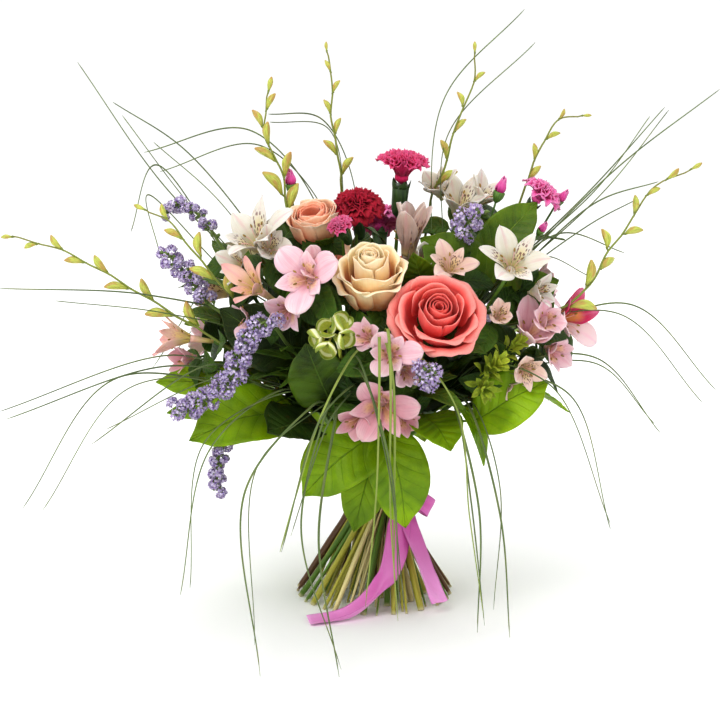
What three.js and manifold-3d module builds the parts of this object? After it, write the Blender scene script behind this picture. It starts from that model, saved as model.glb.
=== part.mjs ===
// A hand-tied mixed bouquet: roses, carnations, alstroemerias, freesias, statice, budding sprays,
// broad leaves and bear grass on a spiralled bundle of cut stems, bound with a satin ribbon.
// Millimetres, +Z up. The bouquet stands on its cut stems, and the origin is the cut end of the
// middle stem. -Y is the side that the bouquet is shown from.

import * as THREE from 'three';
import { mergeVertices } from 'three/addons/utils/BufferGeometryUtils.js';
import Module from 'manifold-3d';

const wasm = await Module();
wasm.setup();

// ---- Driving dimensions ----------------------------------------------------------------------

const GAP = 0.35; // left between a piece and its neighbour
const MERGE_STEP = 0.002; // vertices nearer than this are one
const FAR = 400; // half side of the block that trims the cut stems

const STEM = {
  radius: 2.9,
  sides: 4,
  waistHeight: 95, // where the bundle is tied and narrowest
  rings: [
    { count: 5, waistRadius: 4.6, footRadius: 20, lead: 0.8 },
    { count: 11, waistRadius: 9.6, footRadius: 41, lead: 1.1 },
    { count: 16, waistRadius: 14.6, footRadius: 62, lead: 1.3 },
  ],
  ringByLean: [0.3, 0.62], // lean from upright, in radians, where the next ring starts
  ringMiss: 0.5, // how far aside, in radians, a stem may pass before another ring suits better
  overrun: 6, // length below the table that is trimmed off
  straightAbove: 14, // the stems run straight this far above the waist
  branchRadius: 1.7,
  branchSides: 3,
  branchSunk: 3, // how deep a branch starts inside its stem
  forkWithin: 48, // heads this near to each other share a stem
  forkAt: 0.5, // where along the stem the side shoots leave
};

// A carnation's calyx, as shares of its radius.
const CALYX = { long: 4, shoulder: 3, slim: 0.9, sides: 6 };

// Thickness of each kind of blade.
const THICK = { grass: 1.0, petal: 1.0, leaf: 1.1, ribbon: 1.2 };

const RIBBON = {
  width: 22,
  layBelow: 34, // under this height the tails turn over and lie down on the table
  lay: 700, // how strongly they turn
  rightShare: 0.8, // width of the right tail against the left one
  loopShare: 0.7,
  bandHeight: 18,
  bandRadius: 20.2,
  bandThick: 0.8,
  bandSides: 12,
  knotRadii: [8, 5.6, 6.4],
  knot: [16.6, -20.2, 92],
  leftTail: [[15, -25, 88], [19, -36, 66], [14, -48, 42], [1, -61, 19], [-20, -72, 5], [-52, -80, 2.2]],
  rightTail: [[19, -21, 88], [27, -29, 66], [35, -38, 44], [43, -49, 24], [51, -60, 10]],
  loop: [[19, -18, 92], [34, -19, 88], [43, -20, 78], [36, -25, 72], [24, -25, 82]],
};

// Each head: where its heart is, the way it faces and its size.
const ROSES = [
  { name: 'cream_rose', at: [-4, -93, 276], faces: [-0.05, -0.6, 0.8], radius: 31, tall: 40, rings: 4 },
  {
    name: 'coral_rose', at: [46, -120, 254], faces: [0.12, -0.84, 0.52], radius: 38, tall: 40,
    rings: 4,
  },
  {
    name: 'peach_rose', at: [-47, -38, 310], faces: [-0.15, -0.25, 0.95], radius: 17, tall: 36,
    rings: 2,
  },
  {
    name: 'back_peach_rose', at: [-46, 84, 262], faces: [-0.35, 0.7, 0.62], radius: 30, tall: 38,
    rings: 3,
  },
  {
    name: 'back_coral_rose', at: [46, 98, 246], faces: [0.3, 0.8, 0.5], radius: 33, tall: 38,
    rings: 3,
  },
];

const CARNATIONS = [
  {
    name: 'hot_pink_carnation', at: [21, -20, 350], faces: [0.08, -0.15, 1], radius: 20, calyx: 6,
    petals: 12,
  },
  {
    name: 'crimson_carnation', at: [-12, -36, 326], faces: [-0.1, -0.4, 0.9], radius: 18,
    calyx: 5, petals: 12,
  },
  {
    name: 'magenta_carnation', at: [-28, -72, 312], faces: [-0.35, -0.6, 0.7], radius: 10,
    calyx: 4, petals: 7,
  },
  {
    name: 'pink_carnation', at: [131, 0, 328], faces: [0.55, -0.15, 0.8], radius: 17, calyx: 5,
    petals: 9,
  },
  {
    name: 'back_pink_carnation', at: [4, 56, 300], faces: [0, 0.5, 0.85], radius: 20, calyx: 6,
    petals: 11,
  },
];

// reach: length of a tepal; open: how far it bends out, in radians; tube: length of a long throat.
const LILIES = [
  {
    name: 'white_alstroemeria_left', at: [-92, -60, 300], faces: [-0.3, -0.5, 0.8], reach: 36,
    wide: 17, open: 1.25,
  },
  {
    name: 'white_alstroemeria_star', at: [102, -92, 276], faces: [0.2, -0.85, 0.45], reach: 31,
    wide: 16, open: 1.35,
  },
  {
    name: 'white_alstroemeria_top', at: [66, -2, 318], faces: [0.15, -0.4, 0.9], reach: 30,
    wide: 16, open: 1.0,
  },
  {
    name: 'white_alstroemeria_side', at: [27, -48, 296], faces: [0.05, -0.2, 1], reach: 40,
    wide: 14, open: 0.45,
  },
  {
    name: 'blush_alstroemeria', at: [56, -76, 280], faces: [0.15, -0.6, 0.8], reach: 22, wide: 14,
    open: 1.2,
  },
  {
    name: 'pale_pink_alstroemeria', at: [-54, -108, 274], faces: [-0.35, -0.85, 0.3], reach: 32,
    wide: 20, open: 1.35,
  },
  {
    name: 'pink_alstroemeria_front', at: [10, -136, 226], faces: [0, -0.9, 0.3], reach: 21,
    wide: 15, open: 1.3,
  },
  {
    name: 'mauve_alstroemeria_low', at: [4, -120, 184], faces: [-0.05, -0.95, -0.1], reach: 28,
    wide: 18, open: 1.3,
  },
  {
    name: 'dusty_pink_alstroemeria', at: [116, -82, 230], faces: [0.35, -0.5, 0.75], reach: 28,
    wide: 16, open: 0.7,
  },
  {
    name: 'magenta_alstroemeria', at: [147, -54, 240], faces: [0.8, -0.55, 0.2], reach: 29,
    wide: 17, open: 1.2,
  },
  {
    name: 'blush_alstroemeria_low', at: [112, -92, 206], faces: [0.3, -0.85, -0.2], reach: 17,
    wide: 12, open: 1.1,
  },
  {
    name: 'back_white_alstroemeria', at: [-104, 42, 272], faces: [-0.55, 0.35, 0.75], reach: 32,
    wide: 16, open: 1.3,
  },
  {
    name: 'back_pink_alstroemeria', at: [104, 46, 262], faces: [0.6, 0.4, 0.7], reach: 31,
    wide: 16, open: 1.25,
  },
  {
    name: 'back_blush_alstroemeria', at: [0, 128, 204], faces: [0, 0.95, 0.2], reach: 30,
    wide: 16, open: 1.3,
  },
  {
    name: 'pink_freesia', at: [-92, -88, 268], faces: [-0.55, -0.6, 0.5], reach: 27, wide: 12,
    open: 0.85, tube: 16,
  },
  {
    name: 'peach_freesia', at: [-150, -52, 222], faces: [-0.95, -0.1, 0.15], reach: 24, wide: 11,
    open: 0.7, tube: 14,
  },
];


const STATICE = [
  {
    name: 'statice_upper_left',
    path: [[-112, -26, 276], [-132, -29, 308], [-148, -31, 322], [-165, -33, 316]], from: 0.4,
    puff: 8,
  },
  {
    name: 'statice_left',
    path: [[-112, -48, 236], [-130, -52, 250], [-145, -52, 272], [-163, -50, 290]], from: 0.3,
    puff: 11,
  },
  {
    name: 'statice_front_left',
    path: [
      [-66, -84, 222], [-82, -112, 246], [-98, -116, 228], [-108, -108, 202], [-136, -98, 180],
      [-154, -94, 174],
    ],
    from: 0.2, puff: 12,
  },
  {
    name: 'statice_hanging',
    path: [[-92, -74, 160], [-113, -90, 152], [-120, -92, 134], [-121, -91, 108]], from: 0.4,
    puff: 9,
  },
  {
    name: 'statice_right', path: [[56, -38, 280], [62, -48, 296], [70, -58, 312], [80, -62, 322]],
    from: 0.45, puff: 14,
  },
  {
    name: 'statice_front', path: [[28, -112, 196], [33, -132, 206], [39, -150, 218]], from: 0.55,
    puff: 14,
  },
  {
    name: 'statice_back_right', path: [[72, 66, 196], [92, 98, 208], [108, 114, 216]], from: 0.4,
    puff: 13,
  },
  {
    name: 'statice_back_left', path: [[-44, 84, 186], [-60, 116, 196], [-76, 134, 198]],
    from: 0.4, puff: 13,
  },
];

const STATICE_SHAPE = {
  stemRadius: 1.4,
  facets: 24, // of the line that the florets follow
  pitch: 6.5, // from one ring of florets to the next
  around: 4,
  tips: [0.85, 1.15], // least and greatest reach of a floret, as shares of the spray's radius
  valley: 0.5, // depth between the florets
  forward: 0.3, // how far the floret tips lean forward
  end: 0.5,
};

// Zigzag sprays of plump green buds, small towards the tip.
const SPRAYS = [
  {
    name: 'bud_spray_far_left',
    path: [
      [-78, -44, 196], [-108, -58, 212], [-135, -58, 229], [-173, -55, 252], [-211, -50, 274],
      [-242, -45, 289], [-280, -40, 299],
    ],
    buds: 9, from: 0.3, big: 22,
  },
  {
    name: 'bud_spray_left',
    path: [[-92, -22, 226], [-112, -36, 258], [-138, -46, 290], [-156, -45, 311], [-176, -40, 320]],
    buds: 5, from: 0.45, big: 16,
  },
  {
    name: 'bud_spray_upper_left',
    path: [
      [-48, -14, 244], [-66, -22, 296], [-73, -20, 348], [-85, -18, 371], [-85, -14, 393],
      [-83, -10, 407],
    ],
    buds: 9, from: 0.42, big: 24,
  },
  {
    name: 'bud_spray_top',
    path: [
      [-16, 8, 276], [-26, 4, 324], [-28, -2, 351], [-34, -4, 385], [-34, -3, 420],
      [-38, 0, 438],
    ],
    buds: 8, from: 0.4, big: 18,
  },
  {
    name: 'bud_spray_top_right',
    path: [
      [34, 14, 262], [42, 10, 303], [45, 6, 326], [56, 2, 350], [60, 0, 373], [70, 0, 396],
      [77, 0, 419], [77, 0, 437],
    ],
    buds: 7, from: 0.4, big: 19,
  },
  {
    name: 'bud_spray_upper_right',
    path: [
      [92, 16, 262], [112, 20, 308], [123, 20, 340], [134, 20, 367], [146, 20, 383],
      [164, 22, 386],
    ],
    buds: 5, from: 0.5, big: 17,
  },
  {
    name: 'bud_spray_far_right',
    path: [
      [96, -14, 224], [133, -20, 246], [161, -15, 264], [177, -10, 284], [202, 0, 310],
      [217, 5, 329], [250, 10, 345],
    ],
    buds: 8, from: 0.38, big: 18,
  },
  {
    name: 'bud_spray_back', path: [[22, 44, 214], [52, 60, 252], [82, 94, 282], [106, 120, 292]],
    buds: 6, from: 0.4, big: 18,
  },
];
const BUD = {
  stemRadius: 0.9,
  slim: 0.27, // width against length
  widest: 0.42,
  sides: 4,
  lean: 0.75, // radians away from the stem
  shrink: 0.6, // how much shorter the last bud is than the first
  last: 0.99, // place of the last bud along the stem
};

const GREEN_CUPS = {
  name: 'green_floret_cluster',
  path: [[-26, -104, 214], [-28, -128, 232], [-32, -146, 244]],
  cups: [[-23, -155, 256], [-37, -157, 251], [-47, -152, 240], [-20, -158, 241], [-37, -160, 232]],
  radius: 7.5,
  deep: 11,
  dish: 0.4, // depth of the hollow in each cup, as a share of the cup's depth
  sides: 6,
  stemRadius: 1.4,
  neckRadius: 1,
  clump: 3,
};

// Leafy sprigs. Each leaf: base, tip, the way its upper side faces, width and how far it arches.
const SPRIGS = [
  {
    name: 'front_collar_leaves',
    from: [3, -46, 150],
    leaves: [
      { base: [0, -74, 152], tip: [-56, -98, 108], faces: [-0.2, -0.85, 0.45], wide: 52, arch: 9 },
      { base: [8, -74, 152], tip: [23, -86, 79], faces: [0.25, -0.95, 0.2], wide: 46, arch: 12 },
      { base: [3, -64, 148], tip: [-17, -74, 72], faces: [-0.1, -0.95, 0.1], wide: 38, arch: 5 },
    ],
  },
  {
    name: 'right_collar_leaves',
    from: [42, -48, 160],
    leaves: [
      { base: [36, -84, 168], tip: [56, -122, 150], faces: [0.1, -0.45, 0.85], wide: 40, arch: 5 },
      { base: [74, -84, 164], tip: [131, -86, 195], faces: [0.1, -0.85, 0.5], wide: 42, arch: 8 },
      { base: [62, -80, 176], tip: [82, -100, 132], faces: [0.8, -0.5, 0.3], wide: 20, arch: 6 },
    ],
  },
  {
    name: 'left_collar_leaves',
    from: [-42, -40, 162],
    leaves: [
      { base: [-62, -62, 166], tip: [-142, -92, 150], faces: [-0.15, -0.75, 0.65], wide: 50, arch: 12 },
      { base: [-88, -42, 178], tip: [-172, -40, 184], faces: [-0.1, -0.7, 0.7], wide: 34, arch: 6 },
      { base: [-84, -38, 170], tip: [-164, -36, 158], faces: [-0.1, -0.85, 0.45], wide: 26, arch: 6 },
    ],
  },
  {
    name: 'dark_leaves_left',
    from: [-42, -50, 186],
    leaves: [
      { base: [-52, -64, 204], tip: [-118, -82, 250], faces: [-0.3, -0.85, 0.3], wide: 46, arch: 6 },
      { base: [-34, -82, 176], tip: [-52, -116, 230], faces: [-0.2, -0.85, 0.5], wide: 44, arch: 8 },
    ],
  },
  {
    name: 'upper_right_leaves',
    from: [66, -32, 236],
    leaves: [
      { base: [82, -26, 276], tip: [126, -16, 322], faces: [0.1, -0.85, 0.5], wide: 34, arch: 5 },
      { base: [40, -58, 252], tip: [28, -78, 292], faces: [-0.2, -0.8, 0.5], wide: 26, arch: 4 },
      { base: [94, -48, 242], tip: [140, -58, 268], faces: [0.2, -0.8, 0.6], wide: 34, arch: 5 },
    ],
  },
  {
    name: 'back_left_leaves',
    from: [-46, 36, 176],
    leaves: [
      { base: [-74, 44, 190], tip: [-156, 46, 214], faces: [-0.3, 0.5, 0.8], wide: 46, arch: 10 },
      { base: [-66, 60, 176], tip: [-120, 116, 156], faces: [-0.5, 0.75, 0.5], wide: 48, arch: 10 },
      { base: [-80, 14, 168], tip: [-158, 6, 150], faces: [-0.7, 0.1, 0.7], wide: 44, arch: 10 },
    ],
  },
  {
    name: 'back_right_leaves',
    from: [46, 38, 176],
    leaves: [
      { base: [78, 42, 192], tip: [158, 50, 218], faces: [0.3, 0.5, 0.8], wide: 46, arch: 10 },
      { base: [66, 62, 176], tip: [118, 118, 158], faces: [0.5, 0.75, 0.5], wide: 48, arch: 10 },
      { base: [82, 6, 168], tip: [156, -8, 152], faces: [0.7, 0.1, 0.7], wide: 44, arch: 10 },
    ],
  },
  {
    name: 'back_collar_leaves',
    from: [-3, 50, 144],
    leaves: [
      { base: [-8, 66, 152], tip: [-46, 106, 100], faces: [-0.4, 0.85, 0.4], wide: 48, arch: 9 },
      { base: [8, 68, 152], tip: [44, 108, 98], faces: [0.4, 0.85, 0.4], wide: 48, arch: 9 },
      { base: [0, 74, 160], tip: [2, 142, 146], faces: [0, 0.5, 0.85], wide: 44, arch: 9 },
    ],
  },
];

const LEAF = {
  rows: 6,
  stalkShare: 1 / 6, // share of the blade's rows that its stalk takes
  stalkWide: 1.3,
  widest: 0.78, // under 1 puts the widest part below the middle
  fullness: 0.72,
  fold: 0.2, // rise of the sides over the rib, as a share of the half width
  clump: 3.2,
};

// Tufts of bear grass: each blade runs from the tuft's root through its own points.
const GRASS = [
  {
    name: 'bear_grass_left',
    root: [-52, -30, 172],
    blades: [
      [[-96, -42, 230], [-172, -60, 256], [-287, -62, 262]],
      [[-92, -56, 190], [-160, -76, 204], [-281, -90, 166]],
      [[-86, -52, 178], [-200, -66, 192], [-274, -70, 90]],
      [[-84, -64, 184], [-124, -108, 212], [-211, -126, 156]],
    ],
  },
  {
    name: 'bear_grass_front',
    root: [-34, -56, 168],
    blades: [
      [[-70, -96, 190], [-124, -122, 150], [-146, -142, 44]],
      [[-48, -118, 182], [-96, -164, 128], [-84, -202, 2.5]],
      [[-30, -116, 176], [-42, -172, 96], [-27, -203, 2.5]],
      [[-16, -118, 200], [-42, -170, 182], [-69, -176, 88]],
      [[-6, -112, 196], [12, -170, 150], [17, -158, 38]],
    ],
  },
  {
    name: 'bear_grass_right',
    root: [52, -36, 172],
    blades: [
      [[58, -104, 182], [76, -138, 110], [78, -109, 2.5]],
      [[70, -100, 178], [92, -136, 104], [102, -120, 2.5]],
      [[90, -82, 200], [146, -94, 186], [180, -92, 80]],
      [[96, -58, 200], [170, -54, 206], [222, -52, 146]],
      [[98, -40, 210], [196, -42, 246], [266, -42, 178]],
    ],
  },
  {
    name: 'bear_grass_upper_right',
    root: [52, 2, 206],
    blades: [
      [[104, -10, 262], [190, -4, 348], [268, 2, 408]],
      [[98, 6, 256], [172, 2, 332], [226, 4, 394]],
      [[112, 4, 262], [176, 14, 318], [225, 18, 334]],
      [[96, 36, 246], [150, 34, 290], [202, 36, 274]],
      [[44, -8, 300], [54, 10, 400], [116, 14, 469]],
    ],
  },
  {
    name: 'bear_grass_upper_left',
    root: [-44, 10, 212],
    blades: [
      [[-94, -4, 262], [-164, -6, 332], [-231, 0, 429]],
      [[-78, 4, 270], [-148, 0, 360], [-205, 4, 398]],
      [[-40, 10, 300], [-98, 2, 376], [-180, -8, 360]],
      [[-108, 10, 262], [-172, -8, 350], [-190, -24, 300]],
      [[-14, 14, 310], [-42, 10, 384], [-84, 12, 388]],
    ],
  },
  {
    name: 'bear_grass_back',
    root: [2, 44, 178],
    blades: [
      [[-36, 92, 226], [-70, 168, 236], [-84, 236, 120]],
      [[-10, 96, 226], [-14, 180, 220], [-20, 232, 90]],
      [[16, 90, 232], [40, 172, 244], [60, 250, 150]],
      [[44, 78, 206], [110, 160, 214], [160, 206, 110]],
      [[-56, 70, 214], [-130, 132, 238], [-196, 170, 150]],
    ],
  },
];
const GRASS_BLADE = { wide: 2.3, tipWide: 1.0, steps: 5, clump: 3.6, start: 0.003 };

// ---- Small helpers ---------------------------------------------------------------------------

const vector = (point) => new THREE.Vector3(...point);
const towards = (point) => vector(point).normalize();

// Repeatable draws between 0 and 1.
function drawer(seed) {
  let state = seed;
  return () => {
    state = (state * 1664525 + 1013904223) % 4294967296;
    return state / 4294967296;
  };
}

// A closed geometry becomes a solid: only positions are kept and shared corners are merged.
function solidOf(geometry) {
  const bare = geometry.clone();
  bare.deleteAttribute('normal');
  bare.deleteAttribute('uv');
  const merged = mergeVertices(bare, MERGE_STEP);
  const index = Array.from(merged.index.array);
  const kept = [];
  for (let i = 0; i < index.length; i += 3) {
    const [a, b, c] = index.slice(i, i + 3);
    if (a !== b && b !== c && c !== a) kept.push(a, b, c);
  }
  const solidWith = (corners) => new wasm.Manifold(
    new wasm.Mesh({
      numProp: 3,
      vertProperties: new Float32Array(merged.attributes.position.array),
      triVerts: new Uint32Array(corners),
    }),
  );
  const solid = solidWith(kept);
  // A blade made from a left-handed surface is turned inside out.
  return solid.volume() > 0 ? solid : solidWith(kept.reverse());
}

// Joins geometries into one body and drops loose scraps.
function fuse(geometries) {
  return largest(wasm.Manifold.union(geometries.map(solidOf)));
}

function largest(solid) {
  const bodies = solid.decompose();
  return bodies.reduce((best, body) => (body.volume() > best.volume() ? body : best));
}

// A thin blade round a middle surface. surface(u, v) runs over u in -1..1 and v in 0..1. The faces
// meet in a sharp rim, or in a blunt one where the blade is grown.
function blade(surface, across, along, thick, grow) {
  const positions = [];
  const index = [];
  const middle = (i, j) => surface((2 * i) / across - 1, j / along);
  const side = (i, j) => {
    const du = middle(Math.min(i + 1, across), j).sub(middle(Math.max(i - 1, 0), j));
    const dv = middle(i, Math.min(j + 1, along)).sub(middle(i, Math.max(j - 1, 0)));
    return { du, dv, normal: new THREE.Vector3().crossVectors(du, dv).normalize() };
  };
  for (const face of [1, -1]) {
    for (let j = 0; j <= along; j += 1) {
      for (let i = 0; i <= across; i += 1) {
        const onSide = i === 0 || i === across;
        const onEnd = j === 0 || j === along;
        const { du, dv, normal } = side(i, j);
        const point = middle(i, j);
        if (onSide) point.addScaledVector(du.normalize(), (i === 0 ? -1 : 1) * grow);
        if (onEnd) point.addScaledVector(dv.normalize(), (j === 0 ? -1 : 1) * grow);
        const lift = onSide || onEnd ? grow : thick / 2 + grow;
        point.addScaledVector(normal, face * lift);
        positions.push(...point.toArray());
      }
    }
  }
  const row = across + 1;
  const back = row * (along + 1);
  const quad = (a, b, c, d) => index.push(a, b, c, a, c, d);
  for (let j = 0; j < along; j += 1) {
    for (let i = 0; i < across; i += 1) {
      const a = j * row + i;
      const [b, c, d] = [a + 1, a + row + 1, a + row];
      // The split runs from each corner of the sheet inwards, so no rim is left without depth.
      if (i < across / 2 === j < along / 2) {
        quad(a, b, c, d);
        quad(back + a, back + d, back + c, back + b);
      } else {
        quad(b, c, d, a);
        quad(back + b, back + a, back + d, back + c);
      }
    }
  }
  for (let i = 0; i < across; i += 1) {
    const top = along * row + i;
    quad(i, back + i, back + i + 1, i + 1);
    quad(top, top + 1, back + top + 1, back + top);
  }
  for (let j = 0; j < along; j += 1) {
    const left = j * row;
    const right = left + across;
    quad(left, left + row, back + left + row, back + left);
    quad(right, back + right, back + right + row, right + row);
  }
  const geometry = new THREE.BufferGeometry();
  geometry.setAttribute('position', new THREE.Float32BufferAttribute(positions, 3));
  geometry.setIndex(index);
  return geometry;
}

// A round rod with few sides along a curve.
function rod(curve, radius, sides, steps) {
  const section = new THREE.Shape();
  for (let i = 0; i < sides; i += 1) {
    const angle = (i / sides) * Math.PI * 2;
    const corner = roundAxis(radius, angle, 0);
    if (i === 0) section.moveTo(corner.x, corner.y);
    else section.lineTo(corner.x, corner.y);
  }
  section.closePath();
  return new THREE.ExtrudeGeometry(section, { steps, extrudePath: curve, bevelEnabled: false });
}

// A turned solid from a half profile of [radius, height] that starts and ends on the axis.
function turned(profile, sides) {
  const geometry = new THREE.LatheGeometry(profile.map(([r, z]) => new THREE.Vector2(r, z)), sides);
  geometry.rotateX(Math.PI / 2);
  return geometry;
}

// Sets a geometry made round the Z axis on a point, with its axis along a direction.
function setAt(geometry, at, axis) {
  const turn = new THREE.Quaternion().setFromUnitVectors(new THREE.Vector3(0, 0, 1), axis);
  geometry.applyQuaternion(turn);
  return geometry.translate(...at.toArray());
}

// A point round the Z axis.
const roundAxis = (radius, angle, height) =>
  new THREE.Vector3(radius * Math.cos(angle), radius * Math.sin(angle), height);

const smoothPath = (points) => new THREE.CatmullRomCurve3(points.map(vector), false, 'centripetal');

// A smooth path with the places on the straight facets that a rod of so many steps makes of it.
function facetedPath(points, steps) {
  const curve = smoothPath(points);
  const corners = curve.getSpacedPoints(steps);
  const at = (share) => {
    const k = Math.min(Math.floor(share * steps), steps - 1);
    const point = corners[k].clone().lerp(corners[k + 1], share * steps - k);
    return { point, along: corners[k + 1].clone().sub(corners[k]).normalize() };
  };
  return { curve, steps, at };
}

// ---- Flowers ---------------------------------------------------------------------------------

// Each value is a share of the petal's own height or reach, or a power.
const WRAPPED = {
  sideDrop: 0.16, // how far the rim sinks at the petal's sides
  sidePower: 2.5,
  curlFrom: 0.62, // height from which the rim curls out
  curlDrop: 0.9, // how far the curled rim comes down against how far it rolls out
  swellAt: 0.87, // height where the petal is as far out as it gets
  swellPower: 0.8,
  broadAt: 0.625, // height where it has its full breadth
  slip: 0.08, // one side of a petal lies this much further out than the other
};

// Eases from 0 to 1 and stays there.
const risen = (share) => Math.sin(Math.min(1, share) * (Math.PI / 2));

// A petal that wraps round the axis. reach and rise are its rim's radius and height, and roll is
// how far the rim curls out and down.
function wrappedPetal({ turn, half, root, reach, rise, roll }, grow) {
  const surface = (u, v) => {
    const shoulder = v * (1 - WRAPPED.sideDrop * Math.abs(u) ** WRAPPED.sidePower);
    const curl = Math.max(0, shoulder - WRAPPED.curlFrom) / (1 - WRAPPED.curlFrom);
    const swell = risen(shoulder / WRAPPED.swellAt) ** WRAPPED.swellPower;
    const radius = root + (reach - root) * swell * (1 + WRAPPED.slip * u) + roll * curl ** 2;
    const height = rise * shoulder - roll * WRAPPED.curlDrop * curl ** 3;
    return roundAxis(radius, turn + u * half * risen(v / WRAPPED.broadAt), height);
  };
  return blade(surface, 3, 3, THICK.petal, grow);
}

// Rings of petals from the heart out. Radii are shares of the rose's radius, rise is of its height.
const ROSE_RINGS = [
  { count: 3, root: 0.08, reach: 0.24, rise: 1.0, roll: 0.02 },
  { count: 3, root: 0.16, reach: 0.46, rise: 0.97, roll: 0.06 },
  { count: 4, root: 0.24, reach: 0.7, rise: 0.84, roll: 0.12 },
  { count: 5, root: 0.32, reach: 0.9, rise: 0.62, roll: 0.16 },
];
// The heart is a low seat that carries the petals and a slim cone that they close round.
const ROSE_HEART = { overlap: 0.06, seat: 0.05, cone: 0.05, coneFrom: 0.1, coneTop: 0.9, sides: 6 };
const ROSE_SINK = 0.75; // share of the height that lies below the rose's middle

function rose({ at, faces, radius, tall, rings }, grow) {
  const axis = towards(faces);
  const used = ROSE_RINGS.slice(0, rings);
  const outer = used[rings - 1];
  const wide = radius / (outer.reach + outer.roll);
  const seat = (outer.root + ROSE_HEART.overlap) * wide;
  const heart = [
    [0, 0],
    [seat, 0],
    [seat, ROSE_HEART.seat * tall],
    [ROSE_HEART.cone * wide, ROSE_HEART.coneFrom * tall],
    [0, ROSE_HEART.coneTop * tall],
  ];
  const parts = [turned(heart, ROSE_HEART.sides)];
  used.forEach((ring, level) => {
    for (let k = 0; k < ring.count; k += 1) {
      const petal = {
        turn: ((k + 0.5 * (level % 2)) / ring.count) * Math.PI * 2,
        half: Math.PI / ring.count,
        root: ring.root * wide,
        reach: ring.reach * wide,
        rise: ring.rise * tall,
        roll: ring.roll * wide,
      };
      parts.push(wrappedPetal(petal, grow));
    }
  });
  const base = vector(at).addScaledVector(axis, -ROSE_SINK * tall);
  return parts.map((part) => setAt(part, base, axis));
}

// Rings of fringed fans from the outside in: lean from the axis in radians, length and root as
// shares of the carnation's radius, and the share of its petals.
const CARNATION_RINGS = [
  { lean: 1.35, length: 1.08, root: 0.2, share: 0.45 },
  { lean: 0.85, length: 1.04, root: 0.12, share: 0.33 },
  { lean: 0.3, length: 1.0, root: 0.05, share: 0.25 },
];
const CARNATION_SHAPE = {
  tall: 1.15, // height against radius
  sink: 0.6, // share of the height that lies below the middle
  heart: 0.26,
  heartLow: 0.16,
  heartHigh: 0.3,
  heartSides: 5,
  petalsFrom: 0.22,
  fill: 0.92, // share of its sector that a fan takes
  upright: 0.45, // share of the lean that a fan has at its root
  notch: 0.14, // depth of the cuts in the rim
  rim: 0.9, // where the rim starts
};

function carnation({ at, faces, radius, petals }, grow) {
  const axis = towards(faces);
  const shape = CARNATION_SHAPE;
  const tall = radius * shape.tall;
  const [wide, low, high] = [shape.heart * radius, shape.heartLow * tall, shape.heartHigh * tall];
  const parts = [turned([[0, 0], [wide, low], [wide, high], [0, high]], shape.heartSides)];
  CARNATION_RINGS.forEach((ring, level) => {
    const count = Math.round(petals * ring.share);
    for (let k = 0; k < count; k += 1) {
      const turn = ((k + 0.5 * (level % 2)) / count) * Math.PI * 2;
      const half = (Math.PI / count) * shape.fill;
      const surface = (u, v) => {
        const odd = Math.round((u + 1) * 1.5) % 2;
        const notch = v > shape.rim ? 1 - shape.notch * odd : 1;
        const bend = ring.lean * (shape.upright + (1 - shape.upright) * v);
        const reach = radius * ring.length * v * notch;
        const out = ring.root * radius + reach * Math.sin(bend);
        const height = shape.petalsFrom * tall + reach * Math.cos(bend);
        return roundAxis(out, turn + u * half * Math.min(1, v * 2), height);
      };
      parts.push(blade(surface, 3, 2, THICK.petal, grow));
    }
  });
  const base = vector(at).addScaledVector(axis, -shape.sink * tall);
  return parts.map((part) => setAt(part, base, axis));
}

// A shell given by its corners and faces.
function shell(points, faces) {
  const geometry = new THREE.BufferGeometry();
  const positions = points.flatMap((point) => point.toArray());
  geometry.setAttribute('position', new THREE.Float32BufferAttribute(positions, 3));
  geometry.setIndex(faces.flat());
  return geometry;
}

const TEPALS = 6; // broad and narrow ones by turns
const TEPAL_ROWS = [0.36, 0.72]; // places of the corners along each tepal
const LILY = {
  throat: 0.13, // radius of the throat, as a share of the reach
  deep: 0.16, // depth of the throat
  heart: 0.75, // how high the throat's floor lies in it
  start: 0.35, // lean of the tepals at the throat, in radians
  leastBend: 0.1,
  narrowOpen: 0.82, // narrow tepals against broad ones: how far they bend, reach and spread
  narrowReach: 0.94,
  narrowWide: 0.66,
  widest: 1.2, // over 1 puts the widest part beyond the middle
  fullness: 0.8,
  cupped: 0.11, // lift of a tepal's sides against its half width
  sink: 0.45, // how far the base lies below the middle, as a share of the reach
};

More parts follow.
